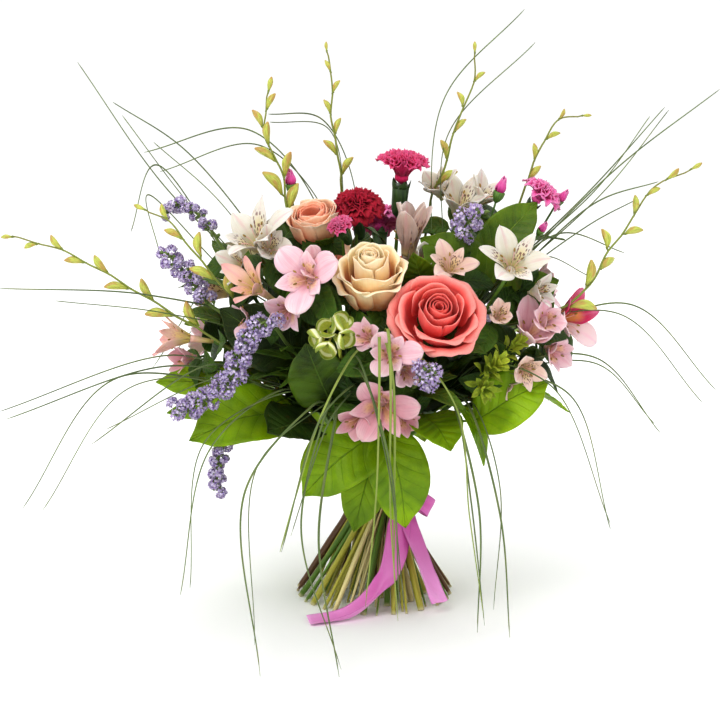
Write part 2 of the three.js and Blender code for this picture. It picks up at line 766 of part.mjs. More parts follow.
// An alstroemeria or freesia: one shell, whose throat opens into three broad and three narrow
// tepals. Each tepal has a rib with a front and a back corner, and shares its sharp rim.
function lily({ at, faces, reach, wide, open, tube = 0 }, grow) {
  const axis = towards(faces);
  const throat = LILY.throat * reach;
  const deep = tube + LILY.deep * reach;
  const points = [new THREE.Vector3(0, 0, -grow), new THREE.Vector3(0, 0, deep * LILY.heart)];
  const [outerHeart, innerHeart] = [0, 1];
  const notch = [];
  for (let k = 0; k < TEPALS; k += 1) {
    notch.push(points.length);
    points.push(roundAxis(throat + grow, ((k + 0.5) / TEPALS) * Math.PI * 2, deep));
  }
  const index = [];
  for (let k = 0; k < TEPALS; k += 1) {
    const broad = k % 2 === 0;
    const turn = (k / TEPALS) * Math.PI * 2;
    const end = Math.max(LILY.start + LILY.leastBend, open * (broad ? 1 : LILY.narrowOpen));
    const sweep = (reach * (broad ? 1 : LILY.narrowReach) + grow) / (end - LILY.start);
    const spread = wide * 0.5 * (broad ? 1 : LILY.narrowWide);
    const corner = (u, v, face) => {
      const bend = LILY.start + (end - LILY.start) * v;
      const half = spread * Math.sin(Math.PI * v ** LILY.widest) ** LILY.fullness + grow;
      const lift = face * (THICK.petal / 2 + grow) + LILY.cupped * Math.abs(u * half);
      const out = throat + sweep * (Math.cos(LILY.start) - Math.cos(bend)) - lift * Math.cos(bend);
      const up = deep + sweep * (Math.sin(bend) - Math.sin(LILY.start)) + lift * Math.sin(bend);
      const aside = roundAxis(u * half, turn + Math.PI / 2, 0);
      points.push(roundAxis(out, turn, up).add(aside));
      return points.length - 1;
    };
    const [left, right] = [notch[(k + TEPALS - 1) % TEPALS], notch[k]];
    let row = { left, right, front: corner(0, 0, 1), back: corner(0, 0, -1) };
    index.push([innerHeart, left, row.front], [innerHeart, row.front, right]);
    index.push([outerHeart, row.back, left], [outerHeart, right, row.back]);
    for (const v of TEPAL_ROWS) {
      const next = {
        left: corner(-1, v, 0),
        right: corner(1, v, 0),
        front: corner(0, v, 1),
        back: corner(0, v, -1),
      };
      index.push([row.left, next.left, next.front], [row.left, next.front, row.front]);
      index.push([row.front, next.front, next.right], [row.front, next.right, row.right]);
      index.push([row.left, next.back, next.left], [row.left, row.back, next.back]);
      index.push([row.back, next.right, next.back], [row.back, row.right, next.right]);
      row = next;
    }
    const tip = corner(0, 1, 0);
    index.push([row.left, tip, row.front], [row.front, tip, row.right]);
    index.push([row.left, row.back, tip], [row.back, row.right, tip]);
  }
  const base = vector(at).addScaledVector(axis, -(tube + LILY.sink * reach));
  return [setAt(shell(points, index), base, axis)];
}

// Papery florets crowd the end of each statice stem: the sheath's corners stand out as floret tips
// and sink back between them by turns.
function statice({ path, from, puff }, grow) {
  const shape = STATICE_SHAPE;
  const stem = facetedPath(path, path.length + 2);
  const sheath = facetedPath(path, shape.facets);
  const length = sheath.curve.getLength() * (1 - from);
  const rows = Math.round(length / shape.pitch);
  const sides = shape.around * 2;
  const draw = drawer(Math.round(length));
  const [shortest, longest] = shape.tips;
  const first = sheath.at(from);
  const last = sheath.at(1);
  const points = [
    first.point.clone().addScaledVector(first.along, -grow),
    last.point.clone().addScaledVector(last.along, puff * shape.end + grow),
  ];
  for (let j = 0; j < rows; j += 1) {
    const { point, along } = sheath.at(from + ((1 - from) * (j + 0.5)) / rows);
    const aside = new THREE.Vector3(0, 1, 0).cross(along).normalize();
    for (let i = 0; i < sides; i += 1) {
      const tip = (i + j) % 2 === 0;
      const share = tip ? shortest + (longest - shortest) * draw() : shape.valley;
      const ray = aside.clone().applyAxisAngle(along, (i / sides) * Math.PI * 2);
      const forward = tip ? puff * shape.forward : 0;
      const corner = point.clone().addScaledVector(ray, puff * share + grow);
      points.push(corner.addScaledVector(along, forward));
    }
  }
  const faces = [];
  const corner = (i, j) => 2 + j * sides + (i % sides);
  for (let i = 0; i < sides; i += 1) {
    faces.push([0, corner(i + 1, 0), corner(i, 0)]);
    faces.push([1, corner(i, rows - 1), corner(i + 1, rows - 1)]);
    for (let j = 0; j < rows - 1; j += 1) {
      const [a, b] = [corner(i, j), corner(i + 1, j)];
      const [c, d] = [corner(i + 1, j + 1), corner(i, j + 1)];
      if ((i + j) % 2 === 0) faces.push([a, b, c], [a, c, d]);
      else faces.push([a, b, d], [b, c, d]);
    }
  }
  return [rod(stem.curve, shape.stemRadius + grow, 3, stem.steps), shell(points, faces)];
}

// ---- Buds, leaves and grass ------------------------------------------------------------------

function bud(length, grow) {
  const wide = length * BUD.slim * 0.5 + grow;
  return turned([[0, -grow], [wide, length * BUD.widest], [0, length + grow]], BUD.sides);
}

// Buds alternate left and right along the stem and shrink towards its tip, which ends in a bud.
function budSpray({ path, buds, from, big }, grow) {
  const stem = facetedPath(path, path.length + 2);
  const parts = [rod(stem.curve, BUD.stemRadius + grow, 3, stem.steps)];
  for (let k = 0; k < buds; k += 1) {
    const share = k / (buds - 1);
    const { point, along } = stem.at(from + (BUD.last - from) * share);
    const aside = new THREE.Vector3(0, 1, 0).cross(along).normalize();
    const lean = k === buds - 1 ? 0 : BUD.lean * (k % 2 === 0 ? 1 : -1);
    const axis = along.multiplyScalar(Math.cos(lean)).addScaledVector(aside, Math.sin(lean));
    parts.push(setAt(bud(big * (1 - BUD.shrink * share), grow), point, axis.normalize()));
  }
  return parts;
}

// Green florets that have not opened: small cups on slim necks that spread from the stem's tip.
function greenCups({ path, cups, radius, deep, dish, sides, stemRadius, neckRadius, clump }, grow) {
  const tip = vector(path[path.length - 1]);
  const parts = [rod(smoothPath(path), stemRadius + grow, 3, 2), knot(tip.toArray(), clump + grow)];
  for (const place of cups) {
    const reach = vector(place).sub(tip);
    const far = reach.length();
    const profile = [
      [0, -grow],
      [neckRadius + grow, far - deep],
      [radius + grow, far],
      [0, far - dish * deep],
    ];
    parts.push(setAt(turned(profile, sides), tip, reach.normalize()));
  }
  return parts;
}

// A broad leaf with its stalk in one blade: the stalk runs from the sprig's root to the leaf's base,
// where the leaf opens, widest below its middle, folded a little along its rib and pointed.
function leaf({ base, tip, faces, wide, arch }, root, grow) {
  const upper = towards(faces);
  const crown = vector(base).lerp(vector(tip), 0.5).addScaledVector(upper, arch);
  const rib = new THREE.CatmullRomCurve3([vector(root), vector(base), crown, vector(tip)]);
  const surface = (u, v) => {
    const opened = Math.max(0, (v - LEAF.stalkShare) / (1 - LEAF.stalkShare));
    // The stalk is the first of the rib's three spans, and the leaf the other two.
    const t = v < LEAF.stalkShare ? v / LEAF.stalkShare / 3 : (1 + 2 * opened) / 3;
    const across = new THREE.Vector3().crossVectors(rib.getTangent(t), upper).normalize();
    const up = new THREE.Vector3().crossVectors(across, rib.getTangent(t)).normalize();
    const open = wide * 0.5 * Math.sin(Math.PI * opened ** LEAF.widest) ** LEAF.fullness;
    const half = v === 1 ? 0 : Math.max(open, LEAF.stalkWide);
    const lift = LEAF.fold * open * Math.abs(u);
    return rib.getPoint(t).addScaledVector(across, u * half).addScaledVector(up, lift);
  };
  return blade(surface, 2, LEAF.rows, THICK.leaf, grow);
}

const KNOT_SEAT = 0.72; // how far below a knot's middle its stem ends, as a share of its radius

// The knot where the stalks or blades of one root meet.
const knot = (at, radius) => new THREE.OctahedronGeometry(radius).translate(...at);

function sprig({ from, leaves }, grow) {
  return [knot(from, LEAF.clump + grow), ...leaves.map((spec) => leaf(spec, from, grow))];
}

function grassTuft({ root, blades }, grow) {
  const parts = [knot(root, GRASS_BLADE.clump + grow)];
  for (const points of blades) {
    const curve = smoothPath([root, ...points]);
    const out = vector(points[points.length - 1]).sub(vector(root)).setZ(0).normalize();
    const sideways = new THREE.Vector3(-out.y, out.x, 0);
    const { wide, tipWide, steps, start } = GRASS_BLADE;
    const surface = (u, v) => {
      const half = v === 0 || v === 1 ? 0 : (wide + (tipWide - wide) * v) * 0.5;
      return curve.getPoint(start + (1 - start) * v).addScaledVector(sideways, u * half);
    };
    parts.push(blade(surface, 2, steps, THICK.grass, grow));
  }
  return parts;
}

// ---- Stems and ribbon ------------------------------------------------------------------------

// A straight stem of a ring: it passes the waist at `slot` and slants, as in a spiralled bunch.
function slantedStem(ring, slot) {
  const angle = (slot / ring.count) * Math.PI * 2;
  const slant = Math.sqrt(ring.footRadius ** 2 - ring.waistRadius ** 2) / STEM.waistHeight;
  const waist = roundAxis(ring.waistRadius, angle, STEM.waistHeight);
  const run = roundAxis(slant, angle + Math.PI / 2, 1);
  return (height) => waist.clone().addScaledVector(run, height - STEM.waistHeight);
}

const straightRod = (start, end, radius, sides) =>
  rod(new THREE.LineCurve3(start, end), radius, sides, 1);

// The free stem of the bundle that suits a head best: its ring by the head's lean, its slot by side.
function claimStem(base, taken) {
  const lean = Math.atan2(Math.hypot(base.x, base.y), base.z - STEM.waistHeight);
  const level = STEM.ringByLean.filter((limit) => lean > limit).length;
  let best = null;
  STEM.rings.forEach((ring, other) => {
    const side = Math.atan2(base.y, base.x) - ring.lead;
    for (let slot = 0; slot < ring.count; slot += 1) {
      const turn = side - (slot / ring.count) * Math.PI * 2;
      const aside = Math.abs(Math.atan2(Math.sin(turn), Math.cos(turn)));
      const miss = aside + STEM.ringMiss * Math.abs(other - level);
      const key = `${other}:${slot}`;
      if (!taken.has(key) && (!best || miss < best.miss)) best = { miss, key, ring, slot };
    }
  });
  taken.add(best.key);
  return slantedStem(best.ring, best.slot);
}

// Every head, spray, sprig and tuft rests on the end of a stem that arrives from its own ring slot.
function stemBundle(ends, grow) {
  const { waistHeight, overrun, radius, sides, branchRadius, branchSides } = STEM;
  const top = waistHeight + STEM.straightAbove;
  const parts = [];
  const addStem = (start, end) => parts.push(straightRod(start, end, radius + grow, sides));
  addStem(new THREE.Vector3(0, 0, -overrun), new THREE.Vector3(0, 0, top));
  for (const ring of STEM.rings) {
    for (let slot = 0; slot < ring.count; slot += 1) {
      const stem = slantedStem(ring, slot);
      addStem(stem(-overrun), stem(top));
    }
  }
  const forks = [];
  const taken = new Set();
  for (const { base, axis, calyx } of ends) {
    const end = base.clone().addScaledVector(axis, -GAP);
    const fork = forks.find((other) => other.head.distanceTo(base) < STEM.forkWithin);
    const start = fork ? fork.side.clone() : claimStem(base, taken)(top - STEM.branchSunk);
    parts.push(straightRod(start, end, branchRadius + grow, branchSides));
    if (!fork) forks.push({ head: base, side: start.clone().lerp(end, STEM.forkAt) });
    if (calyx) parts.push(calyxCup(end, axis, calyx, grow));
  }
  return parts;
}

function calyxCup(end, axis, radius, grow) {
  const { long, shoulder, slim, sides } = CALYX;
  const low = [[0, -long * radius], [slim * radius, -shoulder * radius]];
  return setAt(turned([...low, [radius + grow, 0], [0, 0]], sides), end, axis);
}

// Cuts everything below the table, so that the stems end in flat cuts.
function trimmedAtTable(solid) {
  const block = new THREE.BoxGeometry(2 * FAR, 2 * FAR, FAR);
  block.translate(0, 0, -FAR / 2);
  return largest(solid.subtract(solidOf(block)));
}

// A strip of ribbon along a path, with its flat side turned to the outside of the bundle.
function ribbonStrip(path, width, grow) {
  const curve = smoothPath(path);
  const surface = (u, v) => {
    const point = curve.getPoint(v);
    const laid = RIBBON.lay * Math.max(0, 1 - point.z / RIBBON.layBelow) ** 2;
    const outwards = new THREE.Vector3(point.x, point.y, laid).normalize();
    const across = new THREE.Vector3().crossVectors(curve.getTangent(v), outwards).normalize();
    return point.addScaledVector(across, u * width * 0.5);
  };
  return blade(surface, 2, path.length, THICK.ribbon, grow);
}

function ribbon(grow) {
  const { width, rightShare, loopShare, bandHeight, bandRadius, bandThick, bandSides } = RIBBON;
  const low = STEM.waistHeight - bandHeight / 2;
  const high = STEM.waistHeight + bandHeight / 2;
  const inner = bandRadius - grow;
  const outer = bandRadius + bandThick + grow;
  const lump = new THREE.SphereGeometry(1, 6, 3);
  lump.scale(...RIBBON.knotRadii.map((radius) => radius + grow));
  lump.translate(...RIBBON.knot);
  return [
    turned([[inner, low], [inner, high], [outer, high], [outer, low], [inner, low]], bandSides),
    lump,
    ribbonStrip(RIBBON.leftTail, width, grow),
    ribbonStrip(RIBBON.rightTail, width * rightShare, grow),
    ribbonStrip(RIBBON.loop, width * loopShare, grow),
  ];
}

// ---- The bouquet -----------------------------------------------------------------------------

const COLOURS = {
  stem: '#6f8a3c',
  ribbon: '#d268b4',
  leaf: '#5f9a1e',
  grass: '#6d7f4e',
  buds: '#b4b84e',
  statice: '#9c8ad0',
};
const BLOOM_COLOURS = [
  ['cream', '#f3cf9a'], ['coral', '#ec6a60'], ['peach', '#f0a98c'], ['hot_pink', '#d81f7c'],
  ['crimson', '#a50f37'], ['magenta', '#c2246f'], ['mauve', '#d79fb4'], ['white', '#f4ece4'],
  ['blush', '#ecc9bb'], ['pink', '#e9a0b4'],
];

function bloomColour(name) {
  return BLOOM_COLOURS.find(([word]) => name.includes(word))[1];
}

function material(colour) {
  return new THREE.MeshStandardMaterial({ color: colour, roughness: 0.7, metalness: 0 });
}

// Where a head meets its stem.
function headEnd({ at, faces, calyx }, back) {
  const axis = towards(faces);
  return { base: vector(at).addScaledVector(axis, -back), axis, calyx };
}

const roseEnd = (bloom) => headEnd(bloom, ROSE_SINK * bloom.tall);
const lilyEnd = (bloom) => headEnd(bloom, (bloom.tube ?? 0) + LILY.sink * bloom.reach);
const carnationEnd = (bloom) =>
  headEnd(bloom, CARNATION_SHAPE.sink * CARNATION_SHAPE.tall * bloom.radius);

function pathEnd({ path: [root, next] }) {
  return { base: vector(root), axis: vector(next).sub(vector(root)).normalize() };
}

// A sprig or tuft sits with its clump on the stem's end.
function clumpEnd(root, clumpRadius) {
  const axis = vector(root).sub(new THREE.Vector3(0, 0, STEM.waistHeight)).normalize();
  return { base: vector(root).addScaledVector(axis, -KNOT_SEAT * clumpRadius), axis };
}

const grassEnd = ({ root }) => clumpEnd(root, GRASS_BLADE.clump);
const leafEnd = ({ from }) => clumpEnd(from, LEAF.clump);

// One entry per node of a family. Earlier families keep their whole shape, and later ones are cut
// clear of them.
function family(specs, build, endOf, colour) {
  return specs.map((spec) => ({
    name: spec.name,
    colour: colour ?? bloomColour(spec.name),
    end: endOf(spec),
    build: (grow) => build(spec, grow),
  }));
}

const heads = [
  ...family(GRASS, grassTuft, grassEnd, COLOURS.grass),
  ...family(SPRAYS, budSpray, pathEnd, COLOURS.buds),
  ...family(ROSES, rose, roseEnd),
  ...family(CARNATIONS, carnation, carnationEnd),
  ...family([GREEN_CUPS], greenCups, pathEnd, COLOURS.buds),
  ...family(LILIES, lily, lilyEnd),
  ...family(STATICE, statice, pathEnd, COLOURS.statice),
  ...family(SPRIGS, sprig, leafEnd, COLOURS.leaf),
];

const ends = heads.map((head) => head.end);
const placed = [];

function place(name, colour, build, finish = (solid) => solid) {
  let solid = finish(fuse(build(0)));
  const box = solid.boundingBox();
  for (const other of placed) {
    const apart = [0, 1, 2].some(
      (axis) => box.min[axis] > other.box.max[axis] + GAP || box.max[axis] < other.box.min[axis] - GAP,
    );
    if (!apart) {
      other.grown = other.grown ?? wasm.Manifold.union(other.build(GAP).map(solidOf));
      solid = largest(solid.subtract(other.grown));
    }
  }
  placed.push({ name, colour, build, box, solid });
}

place('stem_bundle', COLOURS.stem, (g) => stemBundle(ends, g), trimmedAtTable);
place('ribbon', COLOURS.ribbon, (g) => ribbon(g));
for (const head of heads) place(head.name, head.colour, head.build);

function meshOf({ name, colour, solid }) {
  const data = solid.getMesh();
  const geometry = new THREE.BufferGeometry();
  geometry.setAttribute('position', new THREE.Float32BufferAttribute(data.vertProperties, 3));
  geometry.setIndex(Array.from(data.triVerts));
  geometry.computeVertexNormals();
  const mesh = new THREE.Mesh(geometry, material(colour));
  mesh.name = name;
  return mesh;
}

const bouquet = new THREE.Group();
bouquet.name = 'mixed_flower_bouquet';
for (const piece of placed) bouquet.add(meshOf(piece));

export default bouquet;
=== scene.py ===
import math

import bpy
import numpy as np
from bpy.props import FloatProperty, FloatVectorProperty, IntProperty, PointerProperty
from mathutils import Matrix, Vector


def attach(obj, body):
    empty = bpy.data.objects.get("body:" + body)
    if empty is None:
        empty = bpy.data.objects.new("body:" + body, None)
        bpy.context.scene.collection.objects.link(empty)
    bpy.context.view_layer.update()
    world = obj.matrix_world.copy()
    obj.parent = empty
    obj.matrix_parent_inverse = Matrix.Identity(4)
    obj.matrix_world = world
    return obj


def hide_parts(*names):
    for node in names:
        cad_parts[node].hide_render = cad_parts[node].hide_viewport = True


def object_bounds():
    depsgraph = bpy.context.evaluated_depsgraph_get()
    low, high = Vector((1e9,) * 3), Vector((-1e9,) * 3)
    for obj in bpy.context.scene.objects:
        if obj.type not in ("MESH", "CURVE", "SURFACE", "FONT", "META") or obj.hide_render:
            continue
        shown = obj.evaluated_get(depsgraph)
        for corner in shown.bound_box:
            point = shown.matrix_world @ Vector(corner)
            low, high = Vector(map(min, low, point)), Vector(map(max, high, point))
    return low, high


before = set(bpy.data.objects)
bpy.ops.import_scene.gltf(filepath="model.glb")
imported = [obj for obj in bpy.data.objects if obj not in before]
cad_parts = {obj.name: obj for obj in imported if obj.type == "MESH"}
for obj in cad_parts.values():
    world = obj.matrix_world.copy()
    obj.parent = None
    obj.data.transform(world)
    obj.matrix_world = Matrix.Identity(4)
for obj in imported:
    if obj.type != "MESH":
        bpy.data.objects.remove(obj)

bl_info = {
    "name": "Mixed Flower Bouquet",
    "version": (1, 0, 0),
    "blender": (4, 5, 0),
    "location": "3D Viewport > Sidebar > Bouquet",
    "description": "Builds the petals, leaves, stems and ribbon of a hand-tied mixed bouquet",
    "category": "Object",
}

# The frame gives the object's box. Sizes and places below are in millimetres, in the frame's axes:
# +Z up, -Y towards the camera.
CAD_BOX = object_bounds()
MM = 0.001
GRASS_REACH = [np.array(corner) / MM for corner in CAD_BOX]
GOLDEN_ANGLE = math.pi * (3 - math.sqrt(5))
PHASES = (0, 6.3)  # where a random wave may start, in radians


def rows(keys, *table):
    """One dictionary for each row of a table, under the keys; None and missing ends are left out."""
    return [{k: v for k, v in zip(keys.split(), row) if v is not None} for row in table]


# ---- Places, as in the part's source -----------------------------------------------------------

STEM = dict(
    waist_height=95,
    rings=[
        dict(count=5, waist_radius=4.6, foot_radius=20, lead=0.8),
        dict(count=11, waist_radius=9.6, foot_radius=41, lead=1.1),
        dict(count=16, waist_radius=14.6, foot_radius=62, lead=1.3),
    ],
    ring_by_lean=[0.3, 0.62],
    ring_miss=0.5,
    straight_above=14,
    branch_radius=1.7,
    branch_sunk=3,
    fork_within=48,
    fork_at=0.5,
)

RIBBON = dict(
    width=22,
    lay_below=34,
    lay=700,
    right_share=0.8,
    loop_share=0.7,
    band_height=18,
    band_radius=20.2,
    knot=[16.6, -20.2, 92],
    left_tail=[
        [15, -25, 88], [19, -36, 66], [14, -48, 42], [1, -61, 19], [-20, -72, 5], [-52, -80, 2.2],
    ],
    right_tail=[[19, -21, 88], [27, -29, 66], [35, -38, 44], [43, -49, 24], [51, -60, 10]],
)

ROSES = rows(
    "name at faces radius tall rings cup",
    ("cream_rose", [-4, -94, 279], [-0.05, -0.52, 0.85], 33, 43, 4, 1),
    ("coral_rose", [46, -120, 256], [0.1, -0.75, 0.65], 38, 40, 4),
    ("peach_rose", [-48, -42, 313], [-0.15, -0.4, 0.9], 20, 36, 2),
    ("back_peach_rose", [-46, 84, 262], [-0.35, 0.7, 0.62], 30, 38, 3),
    ("back_coral_rose", [46, 98, 246], [0.3, 0.8, 0.5], 33, 38, 3),
)

CARNATIONS = rows(
    "name at faces radius calyx petals lean",
    ("hot_pink_carnation", [21, -20, 351], [0.08, -0.15, 1], 22, 6.6, 13, 0.9),
    ("crimson_carnation", [-15, -36, 324], [-0.1, -0.4, 0.9], 19, 5, 12),
    ("magenta_carnation", [-28, -72, 312], [-0.35, -0.6, 0.7], 9.5, 4, 6, 1.2),
    ("pink_carnation", [131, 0, 328], [0.55, -0.15, 0.8], 17, 5, 7, 1.25),
    ("back_pink_carnation", [4, 56, 300], [0, 0.5, 0.85], 20, 6, 11),
)

LILIES = rows(
    "name at faces reach wide open blunt tube closed",
    ("white_alstroemeria_left", [-92, -60, 300], [-0.3, -0.5, 0.8], 36, 17, 1.25),
    ("white_alstroemeria_star", [102, -92, 286], [0.15, -0.72, 0.68], 31, 16, 1.35),
    ("white_alstroemeria_top", [66, -2, 318], [0.15, -0.4, 0.9], 30, 16, 1.0),
    ("white_alstroemeria_side", [26, -48, 296], [0.12, -0.2, 1], 38, 17, 0.3, 1, None, 0.08),
    ("blush_alstroemeria", [56, -76, 280], [0.15, -0.6, 0.8], 22, 14, 1.2),
    ("pale_pink_alstroemeria", [-51, -108, 278], [-0.35, -0.85, 0.3], 27, 21, 1.3, 1),
    ("pink_alstroemeria_front", [10, -136, 226], [0, -0.9, 0.3], 21, 16, 1.3, 1),
    ("mauve_alstroemeria_low", [4, -120, 184], [-0.05, -0.95, -0.1], 28, 18, 1.2, 1),
    ("dusty_pink_alstroemeria", [116, -82, 230], [0.35, -0.5, 0.75], 28, 18, 0.8, 1),
    ("magenta_alstroemeria", [146, -54, 236], [0.8, -0.55, 0.2], 29, 18, 1.1, 1),
    ("blush_alstroemeria_low", [112, -92, 206], [0.3, -0.85, -0.2], 17, 12, 1.1),
    ("back_white_alstroemeria", [-104, 42, 272], [-0.55, 0.35, 0.75], 32, 16, 1.3),
    ("back_pink_alstroemeria", [104, 46, 262], [0.6, 0.4, 0.7], 31, 16, 1.25),
    ("back_blush_alstroemeria", [0, 128, 204], [0, 0.95, 0.2], 30, 16, 1.3),
    ("pink_freesia", [-92, -88, 268], [-0.55, -0.6, 0.5], 27, 12, 0.85, None, 16),
    ("peach_freesia", [-150, -52, 222], [-0.95, -0.1, 0.15], 24, 11, 0.7, None, 14),
)

STATICE = rows(
    "name start puff path",
    ("statice_upper_left", 0.4, 8, [[-112, -26, 276], [-132, -29, 308], [-148, -31, 322],
     [-165, -33, 316]]),
    ("statice_left", 0.3, 11, [[-112, -48, 236], [-130, -52, 250], [-145, -52, 272], [-163, -50, 290]]),
    ("statice_front_left", 0.2, 12, [[-66, -84, 222], [-82, -112, 246], [-98, -116, 228], [-108, -108, 202],
     [-136, -98, 180], [-154, -94, 174]]),
    ("statice_hanging", 0.4, 9, [[-92, -74, 160], [-113, -90, 152], [-120, -92, 134], [-121, -91, 108]]),
    ("statice_right", 0.45, 14, [[56, -38, 280], [62, -48, 296], [70, -58, 312], [80, -62, 322]]),
    ("statice_front", 0.55, 14, [[28, -112, 196], [33, -132, 206], [39, -150, 218]]),
    ("statice_back_right", 0.4, 13, [[72, 66, 196], [92, 98, 208], [108, 114, 216]]),
    ("statice_back_left", 0.4, 13, [[-44, 84, 186], [-60, 116, 196], [-76, 134, 198]]),
)

SPRAYS = rows(
    "name buds start big path",
    ("bud_spray_far_left", 9, 0.3, 20, [[-78, -44, 196], [-108, -58, 212], [-135, -58, 229],
     [-173, -55, 252], [-211, -50, 274], [-242, -45, 289], [-280, -40, 299]]),
    ("bud_spray_left", 6, 0.3, 21, [[-92, -30, 226], [-112, -62, 258], [-138, -64, 290], [-156, -55, 311],
     [-176, -45, 320]]),
    ("bud_spray_upper_left", 8, 0.42, 22, [[-48, -14, 244], [-66, -22, 296], [-73, -20, 348],
     [-85, -18, 371], [-85, -14, 393], [-83, -10, 407]]),
    ("bud_spray_top", 7, 0.4, 15, [[-16, 8, 276], [-26, 4, 324], [-28, -2, 351], [-34, -4, 385],
     [-34, -3, 420], [-38, 0, 438]]),
    ("bud_spray_top_right", 6, 0.4, 16, [[34, 14, 262], [42, 10, 303], [45, 6, 326], [56, 2, 350],
     [60, 0, 373], [70, 0, 396], [77, 0, 419], [77, 0, 437]]),
    ("bud_spray_upper_right", 5, 0.5, 14, [[92, 16, 262], [112, 20, 308], [123, 20, 340], [134, 20, 367],
     [146, 20, 383], [164, 22, 386]]),
    ("bud_spray_far_right", 9, 0.3, 20, [[96, -24, 224], [133, -66, 243], [161, -60, 261], [177, -38, 282],
     [202, -10, 309], [217, 5, 329], [250, 10, 345]]),
    ("bud_spray_back", 6, 0.4, 18, [[22, 44, 214], [52, 60, 252], [82, 94, 282], [106, 120, 292]]),
)

GREEN_CUPS = dict(
    name="green_floret_cluster",
    path=[[-26, -104, 214], [-28, -128, 232], [-32, -146, 244]],
    cups=[[-23, -155, 256], [-37, -157, 251], [-47, -152, 240], [-20, -158, 241], [-37, -160, 232]],
    radius=7.5,
    deep=11,
)

LEAF_KEYS = "base tip faces wide arch shade"
SPRIGS = [
    dict(name="front_collar_leaves", start=[3, -46, 150], leaves=rows(
        LEAF_KEYS,
        ([0, -74, 152], [-56, -98, 108], [-0.2, -0.85, 0.45], 52, 9),
        ([8, -74, 152], [23, -86, 79], [0.25, -0.95, 0.2], 46, 12),
        ([3, -64, 148], [-17, -74, 72], [-0.1, -0.95, 0.1], 38, 5),
    )),
    dict(name="right_collar_leaves", start=[42, -48, 160], leaves=rows(
        LEAF_KEYS,
        ([36, -84, 168], [56, -122, 150], [0.1, -0.45, 0.85], 40, 5),
        ([74, -84, 164], [131, -86, 195], [0.1, -0.85, 0.5], 42, 8),
        ([62, -80, 176], [82, -100, 132], [0.8, -0.5, 0.3], 20, 6),
    )),
    dict(name="left_collar_leaves", start=[-42, -40, 162], leaves=rows(
        LEAF_KEYS,
        ([-62, -62, 166], [-142, -92, 150], [-0.15, -0.75, 0.65], 50, 12),
        ([-88, -42, 178], [-172, -40, 184], [-0.1, -0.7, 0.7], 34, 6),
        ([-84, -38, 170], [-164, -36, 158], [-0.1, -0.85, 0.45], 26, 6),
    )),
    dict(name="dark_leaves_left", start=[-42, -50, 186], leaves=rows(
        LEAF_KEYS,
        ([-52, -64, 204], [-118, -82, 250], [-0.3, -0.85, 0.3], 46, 6, 1),
        ([-34, -82, 176], [-52, -116, 230], [-0.2, -0.85, 0.5], 44, 8, 0.2),
    )),
    dict(name="upper_right_leaves", start=[66, -32, 236], leaves=rows(
        LEAF_KEYS,
        ([82, -26, 276], [126, -16, 322], [0.1, -0.85, 0.5], 34, 5),
        ([40, -58, 252], [28, -78, 292], [-0.2, -0.8, 0.5], 26, 4),
        ([84, -42, 258], [34, -56, 300], [0.1, -0.9, 0.35], 44, 8, 0.8),
        ([94, -48, 242], [140, -58, 268], [0.2, -0.8, 0.6], 34, 5),
    )),
    dict(name="back_left_leaves", start=[-46, 36, 176], leaves=rows(
        LEAF_KEYS,
        ([-74, 44, 190], [-156, 46, 214], [-0.3, 0.5, 0.8], 46, 10),
        ([-66, 60, 176], [-120, 116, 156], [-0.5, 0.75, 0.5], 48, 10),
        ([-80, 14, 168], [-158, 6, 150], [-0.7, 0.1, 0.7], 44, 10),
    )),
    dict(name="back_right_leaves", start=[46, 38, 176], leaves=rows(
        LEAF_KEYS,
        ([78, 42, 192], [158, 50, 218], [0.3, 0.5, 0.8], 46, 10),
        ([66, 62, 176], [118, 118, 158], [0.5, 0.75, 0.5], 48, 10),
        ([82, 6, 168], [156, -8, 152], [0.7, 0.1, 0.7], 44, 10),
    )),
    dict(name="back_collar_leaves", start=[-3, 50, 144], leaves=rows(
        LEAF_KEYS,
        ([-8, 66, 152], [-46, 106, 100], [-0.4, 0.85, 0.4], 48, 9),
        ([8, 68, 152], [44, 108, 98], [0.4, 0.85, 0.4], 48, 9),
        ([0, 74, 160], [2, 142, 146], [0, 0.5, 0.85], 44, 9),
    )),
]

